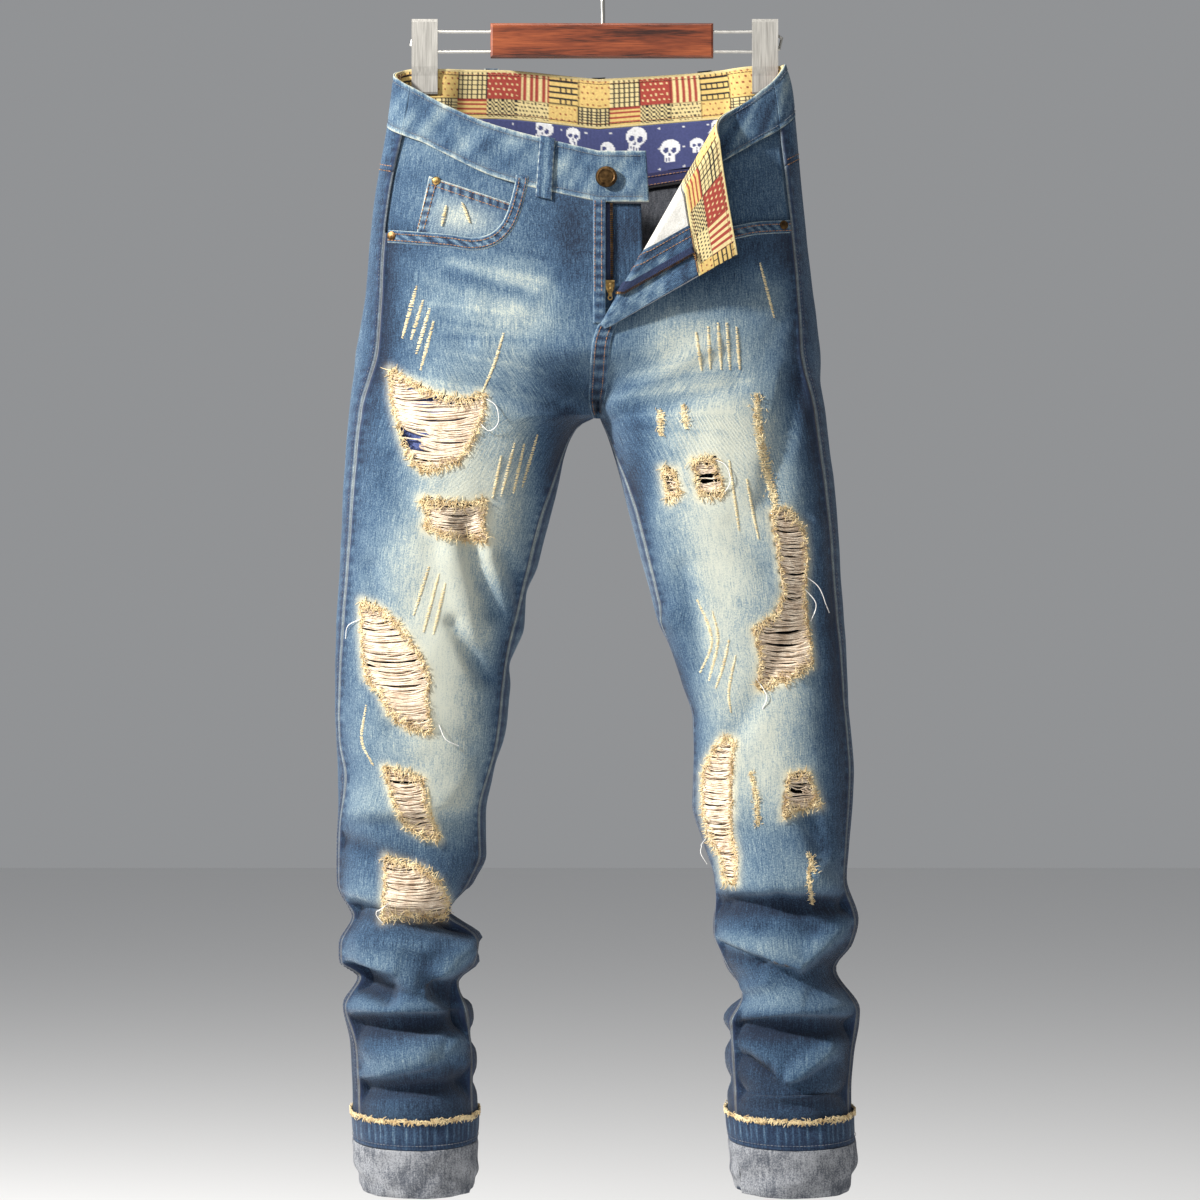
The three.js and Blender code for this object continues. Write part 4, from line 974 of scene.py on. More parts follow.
def flapPlace(u, v, h=0.0):
    share = flapEnd * u
    up = mixOver(8, flapFoot(share) - 0.3, v)
    return onFan(share, up, h - flapSoft(share, up))


def flapWear(u, v, points):
    edge = bell(1 - u, 0.05)
    fade = 0.42 + 0.25 * edge + 0.12 * np.sin(v * 40 + 6 * u)
    return wearOf(fade, 0.3 * bell(u, 0.02), 0.1 * edge)


flapCloth = denimPiece("front_left_corner", flapPlace, (70, 90), (0.09, 0.15), ["front_left"],
                       finish["inside"], wear=flapWear)


# waistband
def bandWear(base):
    def wear(u, v, points):
        x, z = points[:, 0], points[:, 2]
        edge = rims(v, 0.09)
        fade = base + 0.12 * np.sin(x / 9 + 1.3 * np.sin(x / 21)) * np.sin(v * 5 + x / 30)
        fade = fade + 0.22 * edge * halfWave(x / 1.5 + 2 * np.sin(x / 7))
        rim = rims(v, 0.025)
        slant = np.sin((x + 34 * v) / 4.6 + 2.5 * np.sin(x / 26)) * np.sin(x / 13 + 3 * v)
        fade = fade + 0.36 * rim + 0.14 * slant
        row = bell(v - 0.12, 0.05) + bell(v - 0.88, 0.05)
        return wearOf(fade, 0.26 * row)
    return wear


def bandRise(v, h):
    # a little thicker at its folded edges, hollow along its stitching
    row = bell(v - 0.12, 0.035) + bell(v - 0.88, 0.035)
    return h + 0.35 - 0.5 * row


rightBandEnd = 1.186


def bandPlace(side, w, v, h=0.0):
    return onForm(side, w, mixOver(bandTop(side, w), bandFoot(side, w), v), bandRise(v, h))


def rightBand(u, v, h=0.0):
    w = rightBandEnd * u
    slack = 0.7 * np.sin(u * 34 + 5 * v) * np.sin(u * 13 - 2 * v) * np.sin(v * math.pi)
    return bandPlace("right", w, v, h + slack)


band = denimPiece("waistband_right", rightBand, (200, 30), (0.29, 0.047), ["waistband_front_right"],
                  finish["print"], thickness=2.4, wear=bandWear(0.42))


def leftBand(u, v, h=0.0):
    return stopAtFold(bandPlace("left", u, v, h), h)


band = denimPiece("waistband_left", leftBand, (150, 24), (0.26, 0.047), ["waistband_front_left"],
                  cut=pastFold, wear=bandWear(0.3))


def bandFlap(u, v, h=0.0):
    share = flapEnd * u
    up = mixOver(flapTop(share), flapFoot(share), v)
    return onFan(share, up, h - flapSoft(share, np.minimum(up, flapFoot(share))))


band = denimPiece("waistband_left_corner", bandFlap, (110, 30), (0.17, 0.047), ["waistband_front_left"],
                  wear=bandWear(0.3))


def wholeBack(top, foot):
    def place(u, v, h=0.0):
        t = 2 * u - 1
        w = np.abs(t) - 1
        right = onForm("right", w, mixOver(top("right", w), foot("right", w), v), h)
        left = onForm("left", w, mixOver(top("left", w), foot("left", w), v), h)
        return np.where((t < 0)[:, None], right, left)
    return place


backBand = wholeBack(bandTop, bandFoot)
band = denimPiece("waistband_back_cloth", lambda u, v, h=0.0: backBand(u, v, bandRise(v, h)), (260, 24),
                  (0.42, 0.047), ["waistband_back"], wear=bandWear(0.42))


# printed cottons: a patchwork inside the waistband and a printed lining below it
colours = {name: np.array(rgb(*value)[:3]) for name, value in {
    "cream": (228, 208, 152), "yellow": (222, 190, 118), "red": (162, 66, 56), "brick": (140, 60, 46),
    "black": (40, 38, 40), "navy": (70, 76, 122), "deep": (48, 50, 88), "white": (236, 236, 238),
}.items()}
patch = {"width": 28.5, "upper": 28.0}


def patchPrint(kind, a, b):
    # one patch's colour at a, b millimetres from its corner
    def dots(pitch, size):
        row = np.floor(b / pitch)
        da = (a / pitch + 0.5 * (row % 2)) % 1 - 0.5
        db = (b / pitch) % 1 - 0.5
        return np.hypot(da, db) < size

    bricks = ((b % 5.4) < 1.7) | (((a % 5.4) < 1.0) & ((b % 10.8) < 5.4))
    kinds = {
        0: (colours["cream"], colours["black"], ((a % 4.6) < 1.3) | ((b % 4.6) < 1.3)),
        1: (colours["red"], colours["cream"], dots(5.2, 0.2)),
        2: (colours["cream"], colours["red"], (a % 5.6) < 2.8),
        3: (colours["yellow"], colours["black"], bricks),
        4: (colours["yellow"], colours["brick"], dots(5.6, 0.16)),
        5: (colours["cream"], colours["black"], dots(3.8, 0.27)),
        6: (colours["yellow"], colours["red"], (b % 4.4) < 1.9),
        7: (colours["cream"], colours["black"], ((a % 4) < 2) ^ ((b % 4) < 2)),
        8: (colours["cream"], colours["black"], ((a % 2.8) < 0.9) | ((b % 2.8) < 0.9)),
    }
    ground, figure, shown = kinds[kind]
    return np.where(shown[:, None], figure, ground)


upperRow, lowerRow = [0, 1, 2, 3, 4], [6, 7, 5, 4, 8]


def patchworkAt(a, b):
    # a runs along the band and b down from its top, in millimetres
    column = np.floor(a / patch["width"]).astype(int)
    lower = b > patch["upper"]
    shown = np.zeros((len(a), 3))
    for k in range(5):
        for row, kinds in ((False, upperRow), (True, lowerRow)):
            here = (column % 5 == k) & (lower == row)
            if here.any():
                height = b[here] - (patch["upper"] if row else 0)
                shown[here] = patchPrint(kinds[k], a[here] % patch["width"], height)
    join = (a % patch["width"] < 0.6) | (np.abs(b - patch["upper"]) < 0.4)
    return np.where(join[:, None], shown * 0.55, shown)


def runAlong(place, count=400):
    # how far along a piece's middle line each share of it is, in millimetres
    share = np.linspace(0, 1, count)
    line = place(share, np.full(count, 0.5))
    return share, np.concatenate([[0], np.cumsum(np.linalg.norm(np.diff(line, axis=0), axis=1))])


def edgedPrint(place, start=0.0):
    share, run = runAlong(place)

    def wear(u, v, points):
        shown = patchworkAt(np.interp(u, share, run) + start, v * 47)
        hem = (v < 0.05) | (v > 0.96)
        return np.where(hem[:, None], colours["cream"] * 0.9, shown)
    return wear


def backFacing(u, v, h=0.0):
    return backBand(u, v, h - 1.5 + 0.25 * np.sin(u * 60) * np.sin(v * 4))


def printPiece(name, place, grid, cutSize, slot, replaced, thickness, wear):
    return clothPiece(name, place, grid, cutSize, finish["print"], slot, replaced, thickness=thickness,
                      wear=wear, attribute="print")


facing = printPiece("facing_back_cloth", backFacing, (450, 52), (0.42, 0.047), "patchwork", ["facing_back"],
                    1.0, edgedPrint(backBand, 47))


def bandFacing(u, v, h=0.0):
    share = mixOver(0.01, flapEnd, u)
    up = mixOver(flapTop(share), flapFoot(share), v)
    return onFan(share, up, h - 1.5 - flapSoft(share, np.minimum(up, flapFoot(share))))


facing = printPiece("facing_left_corner", bandFacing, (190, 54), (0.17, 0.047), "patchwork",
                    ["facing_front_left"], 1.0, edgedPrint(bandFacing, -37))


# places of a plain rounded skull: along and down the lining, size, lean
skulls = [[-150, 20, 10, 0.3], [-118, 28, 9, -0.2], [-90, 18, 11, 0.0], [-52, 6, 10, 0.4],
          [-24, 8, 8, 0.1], [-38, 28, 9, -0.3], [7, 19, 8.5, 0.9], [35, 11, 11.5, 0.25],
          [67, 25, 11, 0.08], [92, 23, 7.5, 0.0], [112, 8, 9, 0.7], [138, 20, 10, 0.0],
          [164, 26, 10, -0.2]]


# the skulls, with small dots between
def skullsAt(a, b):
    shown = np.broadcast_to(colours["navy"], (len(a), 3)).copy()
    for x0, z0, size, lean in skulls:
        ca, cb = np.cos(lean), np.sin(lean)
        da, db = ((a - x0) * ca + (b - z0) * cb) / size, ((b - z0) * ca - (a - x0) * cb) / size
        jaw = (np.abs(da) < 0.44) & (db > 0.2) & (db < 1.02)
        head = (da**2 / 0.72 + (db + 0.18) ** 2 / 0.55 < 1) | jaw
        eyes = ((np.abs(da) - 0.34) ** 2 / 0.05 + (db - 0.02) ** 2 / 0.06 < 1)
        nose = (np.abs(da) < 0.1) & (db > 0.26) & (db < 0.48)
        teeth = (db > 0.62) & (db < 0.98) & ((np.abs(da) * 10 % 2.2) < 0.6)
        shown = np.where((head & ~eyes & ~nose & ~teeth)[:, None], colours["white"], shown)
    small = (np.hypot((a % 23) - 11, (b % 19) - 4) < 1.1)
    return np.where(small[:, None], colours["white"] * 0.8, shown)


def downYoke(share):
    return lambda side, w: mixOver(bandFoot(side, w) - 0.3, yokeFoot(side, w), share)


def liningPlace(top, foot):
    place = wholeBack(downYoke(top), downYoke(foot))
    return lambda u, v, h=0.0: place(0.03 + 0.94 * u, v, h - 1.6 - 0.8 * (1 - np.cos(u * 44)) * (0.3 + v))


liningCloth = liningPlace(0, 0.75)
liningShare, liningRun = runAlong(liningCloth)
liningMiddle = np.interp(0.5, liningShare, liningRun)


def liningPrint(u, v, points):
    return skullsAt(np.interp(u, liningShare, liningRun) - liningMiddle, v * 44)


def liningHemPrint(u, v, points):
    return np.where((v > 0.8)[:, None], colours["black"], colours["deep"])


lining = printPiece("lining_back_cloth", liningCloth, (520, 60), (0.4, 0.042), "printed_lining",
                    ["lining_back"], 0.8, liningPrint)
liningHemCloth = liningPlace(0.74, 1.0)
liningHem = printPiece("lining_hem_cloth", liningHemCloth, (260, 12), (0.4, 0.016), "printed_lining",
                       ["lining_hem"], 1.2, liningHemPrint)
print("waistband and linings ready")


# pockets
# a path's own way at each place, and the way to the right of it
def waysOf(path):
    run = np.gradient(path, axis=0)
    run = run / np.linalg.norm(run, axis=1, keepdims=True)
    return run, np.stack([run[:, 1], -run[:, 0]], 1)


# a folded strip on a front: its path is given as it is seen, and its width to the right of its way
def mouthPiece(side, low, high):
    step = 2.0
    way = smoothPath(scoops[side], step)
    rightward = waysOf(way)[1]
    count = np.arange(len(way))

    def place(u, v, h=0.0):
        at = v * (len(way) - 1)
        across = mixOver(low, high, u)
        x, z = (np.interp(at, count, way[:, k]) + across * np.interp(at, count, rightward[:, k])
                for k in (0, 1))
        return onPanel(side, x, z, h + 0.5 - 0.3 * bell(u, 0.12) - 0.3 * bell(1 - u, 0.12))

    return denimPiece(f"pocket_mouth_{side}", place, (10, len(way) - 1),
                      ((high - low) * mm, len(way) * step * mm), thickness=0.9, wear=mouthWear)


def mouthWear(u, v, points):
    run = points[:, 0] * 0.8 + points[:, 2]
    pucker = halfWave(run / 1.4 + 2 * np.sin(run / 9))
    fade = 0.26 + 0.42 * (pucker - 0.4) * bell(u - 0.5, 0.34, 4) + 0.55 * rims(u, 0.06)
    row = bell(u - 0.22, 0.07) + bell(u - 0.78, 0.07)
    return wearOf(fade, 0.3 * row * (1 - pucker * 0.5))


scoops = {
    "right": [[-197, -289.5], [-170, -292], [-140, -295], [-120, -298], [-104, -295], [-93, -286],
              [-86, -272], [-80, -250], [-78.5, -239]],
    "left": [[172, -280.5], [140, -283], [116, -288], [98, -289], [84, -285], [77, -277], [72, -268]],
}
# the facing behind a pocket's mouth
pocketBack = {"start": -0.03, "end": 0.78, "underBand": 5, "footZ": -306, "innerFootZ": -250, "lift": -2.8}
# the strip's reach each way off its path, its length, and the area of the facing behind it that shows
pocketSizes = {"right": (-1.2, 10.5, 0.165, 0.0108), "left": (-10.5, 1.2, 0.11, 0.0075)}
for side in ("right", "left"):
    low, high, mouthLength, facingArea = pocketSizes[side]
    hem = mouthPiece(side, low, high)

    def facingPlace(u, v, h=0.0, side=side):
        w = mixOver(pocketBack["start"], pocketBack["end"], u)
        top = bandFoot(side, w) + pocketBack["underBand"]
        foot = mixOver(pocketBack["footZ"], pocketBack["innerFootZ"], ease((w - 0.55) / 0.25))
        return cloth(side, w, mixOver(top, np.minimum(top - 10, foot), v), h + pocketBack["lift"])

    def pocketFacingWear(u, v, points, wear=panelWearAndShade(side)):
        return wear(0.2 + 0.6 * u, v, points) * (0.85, 1, 0) + (0.06, 0.02, 0)

    pocketFacing = denimPiece(
        f"pocket_facing_{side}_cloth", facingPlace, (60, 44), (0.18, 0.1), [f"pocket_facing_{side}"],
        cut=pastFold if side == "left" else None, wear=pocketFacingWear)


# top left, top right, foot left and foot right, as seen
coinCorners = np.array([[-160.0, -239.0], [-76.0, -268.0], [-173.0, -300.0], [-84.0, -302.0]])


def coinPlace(u, v, h=0.0):
    topLeft, topRight, footLeft, footRight = coinCorners[:, None]
    top = mixOver(topLeft, topRight, u[:, None])
    at = mixOver(top, mixOver(footLeft, footRight, u[:, None]), v[:, None])
    return onPanel("right", at[:, 0], at[:, 1], h - 1.3 - 0.5 * bell(v, 0.04))


def coinWear(u, v, points):
    topRun, sideRun = v * 44, u * 86
    pucker = halfWave(points[:, 0] / 1.35 + np.sin(points[:, 0] / 8))
    sidePucker = halfWave(points[:, 2] / 1.35)
    topBand = bell(topRun - 4.5, 4.2, 4)
    sideBand = bell(sideRun - 4.5, 4.2, 4) * (1 - topBand)
    rim = bell(topRun, 0.9) + bell(sideRun, 0.9)
    middle = np.exp(-(((u - 0.42) / 0.3) ** 2) - (((v - 0.55) / 0.3) ** 2))
    fade = 0.36 + 0.4 * middle + topBand * (0.5 * pucker - 0.34)
    fade = fade + sideBand * (0.5 * sidePucker - 0.34) + 0.8 * rim
    return wearOf(fade, 0.12 * (topBand + sideBand), 0.1 * middle)


coin = denimPiece("coin_pocket_cloth", coinPlace, (90, 56), (0.09, 0.06), ["coin_pocket"], wear=coinWear,
                  thickness=1.0)


pocketBag = {"start": 0.14, "end": 0.72, "topZ": -262, "footZ": -492, "lift": -4.4, "slack": 1.2}


def bagPlace(u, v, h=0.0):
    w = mixOver(pocketBag["start"], pocketBag["end"], u)
    z = mixOver(pocketBag["topZ"], pocketBag["footZ"], v)
    slack = pocketBag["slack"] * np.sin(u * 9 + v * 5) * np.sin(v * 17)
    return cloth("right", w, z, h + pocketBag["lift"] - slack)


bag = clothPiece("pocket_bag_right_cloth", bagPlace, (50, 60), (0.13, 0.23), finish["darkDenim"],
                 "dark_denim", ["pocket_bag_right"], thickness=0.8)

seatPocket = {"top": -272, "foot": -404, "point": -420, "inner": 34, "outer": 152}
for side, away in (("right", -1), ("left", 1)):
    def seatPocketPlace(u, v, h=0.0, side=side, away=away):
        across = mixOver(seatPocket["inner"] + 8 * v, seatPocket["outer"] - 8 * v, u)
        middle = 1 - np.abs(2 * u - 1)
        foot = mixOver(seatPocket["foot"], seatPocket["point"], middle)
        top = seatPocket["top"] - 6 * (1 - u)
        edge = bell(np.minimum(np.minimum(u, 1 - u), np.minimum(v, 1 - v)), 0.02)
        x = form["centreX"] + away * across
        return onPanel(side, x, mixOver(top, foot, v), h + 1.5 - 0.7 * edge, front=False)

    def seatPocketWear(u, v, points):
        edge = np.minimum(np.minimum(u, 1 - u) * 118, np.minimum(v, 1 - v) * 140)
        pucker = halfWave((points[:, 0] + points[:, 2]) / 1.4)
        hem = bell(edge, 7)
        rim = bell(edge, 1.6)
        fade = 0.4 + 0.3 * np.sin(u * 3.1) * np.sin(v * 3.1) + 0.2 * hem * pucker + 0.4 * rim
        return wearOf(fade, 0.3 * hem * (1 - pucker))

    pocket = denimPiece(f"seat_pocket_{side}_cloth", seatPocketPlace, (60, 70), (0.118, 0.14),
                        [f"seat_pocket_{side}"], wear=seatPocketWear, thickness=1.1)
print("pockets ready")


# fly
flyLayers = {"tape": -2.0, "shield": -3.8, "facing": -1.9, "tapeOnFacing": -4.0, "bag": -1.5}


def acrossRight(x, z, h):
    return onForm("right", wayRound("right", x, np.full_like(x, -300.0)), z, h)


# a plain layer of the right side of the fly, from x to x and down to a height
def flyLayer(left, right, footZ, lift):
    def place(u, v, h=0.0):
        return acrossRight(mixOver(left, right, u), mixOver(-265, footZ, v), h + lift)
    return place


shield = clothPiece("fly_shield_cloth", flyLayer(-20, 36, -386, flyLayers["shield"]), (30, 40),
                    (0.056, 0.08), finish["denim"], "dark_denim", ["fly_shield"], thickness=1.0,
                    wear=lambda u, v, p: wearOf(0.16 + 0.1 * np.sin(v * 9 + u * 4)))
tape = clothPiece("zip_tape_right_cloth", flyLayer(-16, 8, -345, flyLayers["tape"]), (12, 40), (0.024, 0.08),
                  finish["tape"], "zip_tape", ["zip_tape_right"], thickness=0.9)


def upAcross(share, across):
    return across / (turnAxis[0] + share * turnSide[0])


def underFoot(share, up):
    return np.minimum(up, flapFoot(share) - 0.3)


def turnedLayer(shares, start, end, lift):
    def place(u, v, h=0.0):
        share = mixOver(shares[0], shares[1], u)
        up = mixOver(start(share), end(share), v)
        return onFan(share, up, h + lift - flapSoft(share, up))
    return place


facingWidth = 40
facingPlaces = turnedLayer((0.03, edgeShare - 0.012), lambda s: 7 + 0 * s,
                           lambda s: underFoot(s, upAcross(s, facingWidth)), flyLayers["facing"])


def facingWear(u, v, points):
    return wearOf(0.4 + 0.1 * np.sin(v * 34) * np.sin(u * 9) - 0.2 * ease((v - 0.6) / 0.2))


flyFacing = denimPiece("fly_facing_cloth", facingPlaces, (60, 60), (0.04, 0.14), ["fly_facing"],
                       thickness=0.9, wear=facingWear)


def tapeStart(share):
    return underFoot(share, upAcross(share, 18))


def tapeEnd(share):
    return np.maximum(tapeStart(share) + 2, underFoot(share, upAcross(share, 24)) - 1)


tapeShares = (0.08, 0.5)
tapePlaces = turnedLayer(tapeShares, tapeStart, tapeEnd, flyLayers["tapeOnFacing"])
tape = clothPiece("zip_tape_left_cloth", tapePlaces, (50, 12), (0.1, 0.016), finish["tape"], "zip_tape",
                  ["zip_tape_left"], thickness=0.9)

whiteBagPlaces = turnedLayer(
    (0.004, 0.3), lambda s: np.minimum(upAcross(s, facingWidth) + 0.3, flapFoot(s) - 2.6),
    lambda s: flapFoot(s) - 2.4, flyLayers["bag"])
whiteBag = clothPiece("pocket_bag_left_cloth", whiteBagPlaces, (50, 40), (0.06, 0.08), finish["cotton"],
                      "white_cotton", ["pocket_bag_left"], thickness=0.9)
print("fly ready")


flyFold = {"left": -9.0, "right": 2.6, "topZ": -262, "footZ": -376, "lift": 0.9, "round": 0.5}


def flyEdge(u, v, h=0.0):
    x = mixOver(flyFold["left"], flyFold["right"], u)
    z = mixOver(flyFold["topZ"], flyFold["footZ"], v)
    edge = bell(1 - u, 0.12) + bell(u, 0.1)
    return acrossRight(x, z, h + flyFold["lift"] - flyFold["round"] * edge)


def edgeWear(base):
    def wear(u, v, points):
        pucker = halfWave(points[:, 2] / 1.5 + np.sin(points[:, 2] / 9))
        rim = rims(u, 0.08)
        fade = base + 0.4 * (pucker - 0.5) * bell(u - 0.5, 0.4, 4) + 0.25 * rim
        return wearOf(fade, 0.15 * (1 - rim))
    return wear


flyStrip = denimPiece("fly_edge_right", flyEdge, (12, 60), (0.0116, 0.09), wear=edgeWear(0.3),
                      thickness=0.8)

# from the foot of the turned corner down to the crotch, over the right front
overlap = smoothPath([[14, -360], [6, -366], [-1, -372], [-6, -381], [-9.5, -392], [-11, -405], [-12, -420],
                      [-13, -438], [-12, -450], [-9, -461]], 1.5)

overlapWidth = {"top": 17, "foot": 11}


def overlapPlace(u, v, h=0.0):
    at = v * (len(overlap) - 1)
    x = np.interp(at, np.arange(len(overlap)), overlap[:, 0])
    z = np.interp(at, np.arange(len(overlap)), overlap[:, 1])
    x = x + mixOver(overlapWidth["top"], overlapWidth["foot"], ease((v - 0.7) / 0.3)) * u
    edge = bell(u, 0.07)
    onRight = depthAt("right", True, np.minimum(x, form["centreX"]), z)
    onLeft = depthAt("left", True, np.maximum(x, form["centreX"]), z)
    y = np.minimum(onRight, onLeft)
    return np.stack([x, y - h - 1.5 * (1 - u) - 0.2 + 0.9 * edge, z], -1)


overlapStrip = denimPiece("fly_edge_left", overlapPlace, (16, 76), (0.016, 0.115), wear=edgeWear(0.24),
                          thickness=0.9)


# turn-ups: a dark hem band, then the wrong side of the cloth turned outwards
# a turn-up dips at the front, and its foot rises a little at the sides
def hemTilt(w, share=1.0):
    angle = 0.5 + w * np.where(w > 0, math.pi - 1, math.pi + 1)
    return mixOver(6 * (1 - np.abs(np.sin(angle))), -8 * np.sin(angle), share)


def ringPlace(side, top, foot, lift, swell, shares=(1.0, 1.0)):
    def place(u, v, h=0.0):
        w = -1 + 2 * u
        z = mixOver(top, foot, v) + hemTilt(w, mixOver(shares[0], shares[1], v))
        return onForm(side, w, z, h + lift + swell(w, v, z))
    return place


hemStitchShare = 0.84  # how far down the hem band its stitching lies


def turnUpSwell(w, v, z):
    rounded = -1.6 * bell(1 - v, 0.06) - 0.9 * bell(v, 0.05)
    dents = 1.9 * np.sin(w * 9 + 2 * np.sin(v * 5)) * np.sin(v * 3 + w * 4) + 0.45 * np.sin(w * 31 + v * 9)
    return 1.2 + rounded + dents * (0.35 + v)


def hemSwell(w, v, z):
    return 0.5 * np.sin(w * 27) * np.sin(v * 3.1) - 0.5 * bell(v - hemStitchShare, 0.06)


def hemBandWear(u, v, points):
    streak = np.maximum(0, np.sin(u * 207 + 2 * np.sin(u * 41))) ** 3
    row = bell(v - hemStitchShare, 0.06)
    return wearOf(0.1 + 0.34 * streak * np.sin(v * 3.1), 0.3 + 0.25 * row - 0.25 * streak)


ringLift = 1.9
cuffFinish = makeInside("grey wrong side", (74, 78, 86), (150, 152, 156), 700, 1.2)
for side in ("right", "left"):
    place = ringPlace(side, form["hemTopZ"], form["hemStitchZ"], ringLift, hemSwell)
    hemBand = clothPiece(f"hem_band_{side}_cloth", place, (200, 18), (0.34, 0.026), finish["denim"],
                         "dark_denim", [f"hem_band_{side}"], thickness=1.4, closed=True, wear=hemBandWear)
    place = ringPlace(side, form["hemStitchZ"] - 0.3, form["turnUpZ"], ringLift, turnUpSwell, (1.0, 0.0))
    turnUp = clothPiece(f"turn_up_{side}_cloth", place, (200, 40), (0.34, 0.052), cuffFinish, "denim_inside",
                        [f"turn_up_{side}"], thickness=1.4, closed=True)

# belt loops
loopSizes = {"halfWidth": 7, "over": 8, "lift": 2.7, "bow": 1.2}
# name, side, x, and 1 for the front or -1 for the back
beltLoops = [["belt_loop_front_right", "right", -51, 1], ["belt_loop_back_right", "right", -106, -1],
             ["belt_loop_back_left", "left", 98, -1], ["belt_loop_back_middle", "left", -4, -1]]
for name, side, x, facing in beltLoops:
    height = float(bandTop(side, np.array(0.5)) + bandFoot(side, np.array(0.5))) / 2
    edges = np.array([x - loopSizes["halfWidth"], x + loopSizes["halfWidth"]])
    ends = wayRound(side, edges, np.full(2, height), facing)
    if name.endswith("middle"):
        ends = np.array([-1.018, -0.982])  # across the centre seam

    def loopPlace(u, v, h=0.0, side=side, ends=ends):
        w = mixOver(ends[0], ends[1], u)
        z = mixOver(bandTop(side, w) + 1.5, bandFoot(side, w) - loopSizes["over"], v)
        edge = rims(u, 0.08)
        pinned = bell(v - 0.1, 0.05) + bell(v - 0.88, 0.05)
        bow = loopSizes["bow"] * np.sin(v * math.pi) - 0.6 * edge - 0.5 * pinned
        return onForm(side, w, z, h + loopSizes["lift"] + bow)

    def loopWear(u, v, points):
        edge = rims(u, 0.14)
        pucker = halfWave(points[:, 2] / 1.1)
        rim = rims(u, 0.05)
        fade = 0.24 + 0.6 * rim + 0.3 * edge * (pucker - 0.4) + 0.22 * bell(u - 0.5, 0.16)
        return wearOf(fade, 0.6 * edge * (1 - 0.7 * pucker))

    beltLoop = denimPiece(f"{name}_cloth", loopPlace, (22, 44), (0.014, 0.057), [name], wear=loopWear,
                          thickness=1.4)
print("turn-ups and belt loops ready")

# threads across the rips, and the frayed edges round them
draws = np.random.default_rng(11)


def spansAt(outline, z):
    hits = []
    for (x0, z0), (x1, z1) in zip(outline, outline[1:] + outline[:1]):
        if (z0 > z) != (z1 > z):
            hits.append(x0 + (z - z0) * (x1 - x0) / (z1 - z0))
    hits.sort()
    return list(zip(hits[::2], hits[1::2]))


weft = {"pitch": 1.1, "radius": 0.55, "points": 9, "overlap": 1.6}
# where the threads are torn away from the left, as far as an x: x, z, reach up and down
bare = {"right": [[-158, -474, 4.5], [-164, -485, 4.5], [-140, -500, 3], [-150, -816, 2.5]],
        "left": [[104, -516, 6], [64, -520, 5], [186, -802, 4], [160, -640, 3]]}


def weftLines(side, outline):
    lines = []
    low, high = min(p[1] for p in outline), max(p[1] for p in outline)
    t = np.linspace(0, 1, weft["points"])
    for z in np.arange(high - 0.8, low + 0.8, -weft["pitch"]):
        for x0, x1 in spansAt(outline, z):
            for layer in range(3):
                width = x1 - x0
                torn = [bx for bx, bz, reach in bare[side] if abs(z - bz) < reach and x0 < bx < x1]
                keep, sag = draws.random(), draws.random()
                wave, drift = draws.random(4), draws.normal(0, 1.1)
                if torn and keep < 0.94:
                    start = torn[0] + draws.uniform(-3, 6)
                    width = x1 - start
                else:
                    start = x0
                if width < 3 or keep < 0.12 + 0.1 * layer:
                    continue
                hang = width * (0.05 + 0.12 * sag**2) * 4 * t * (1 - t)
                hang = hang + 1.3 * math.sin(z * 1.15 + x0 / 9) * np.sin(t * math.pi) ** 0.6
                sway = 1.1 * wave[0] * np.sin(t * (4 + 6 * wave[1]) + 6 * wave[2]) * np.sin(t * math.pi)
                x = start - weft["overlap"] + (width + 2 * weft["overlap"]) * t
                lift = -0.2 - (0.6 + 1.6 * layer) * np.sin(t * math.pi) * (0.4 + wave[3])
                lines.append((onPanel(side, x, z - hang + sway + drift * t, lift), 0.75 + 0.5 * keep))
    return lines


def hairs(side, x, z, towards, lengths, lift):
    # short curly threads that start at places on a panel and lean a given way, in radians
    points = 5
    turn = draws.normal(0, 0.35, len(x))
    wobble = draws.normal(0, 0.5, len(x))
    rise = draws.uniform(0.4, 1.0, len(x)) * lift
    lines = []
    px, pz, angle = x.copy(), z.copy(), towards + draws.normal(0, 0.55, len(x))
    steps = [(px, pz, np.full(len(x), 0.15))]
    for k in range(1, points):
        px = px + np.cos(angle) * lengths / (points - 1)
        pz = pz + np.sin(angle) * lengths / (points - 1)
        angle = angle + turn + wobble * math.sin(k * 2.1)
        steps.append((px, pz, 0.15 + rise * math.sin(k / (points - 1) * 2.2)))
    placed = [onPanel(side, a, b, c) for a, b, c in steps]
    for i in range(len(x)):
        lines.append((np.array([p[i] for p in placed]), np.linspace(1.1, 0.5, points)))
    return lines


fray = {"pitch": 0.62, "length": 8.0, "lift": 1.8, "inward": 0.62}


def edgeHairs(side, outline):
    path = evenly(np.array(outline + outline[:1], float), fray["pitch"])
    run, outward = waysOf(path)
    area = sum(a[0] * b[1] - b[0] * a[1] for a, b in zip(outline, outline[1:] + outline[:1]))
    outward = outward * np.sign(area)
    level = np.abs(run[:, 0])
    inward = draws.random(len(path)) < fray["inward"]
    way = np.where(inward[:, None], -outward, outward)
    angle = np.arctan2(way[:, 1] - 0.25, way[:, 0])
    far = fray["length"] * (0.45 + 0.75 * level) * draws.uniform(0.5, 1.3, len(path))
    far = far * np.where(inward, 1.0, 0.6)
    out = draws.uniform(-0.8, 1.6, len(path))
    x, z = path[:, 0] + outward[:, 0] * out, path[:, 1] + outward[:, 1] * out
    return hairs(side, x, z, angle, far, fray["lift"])


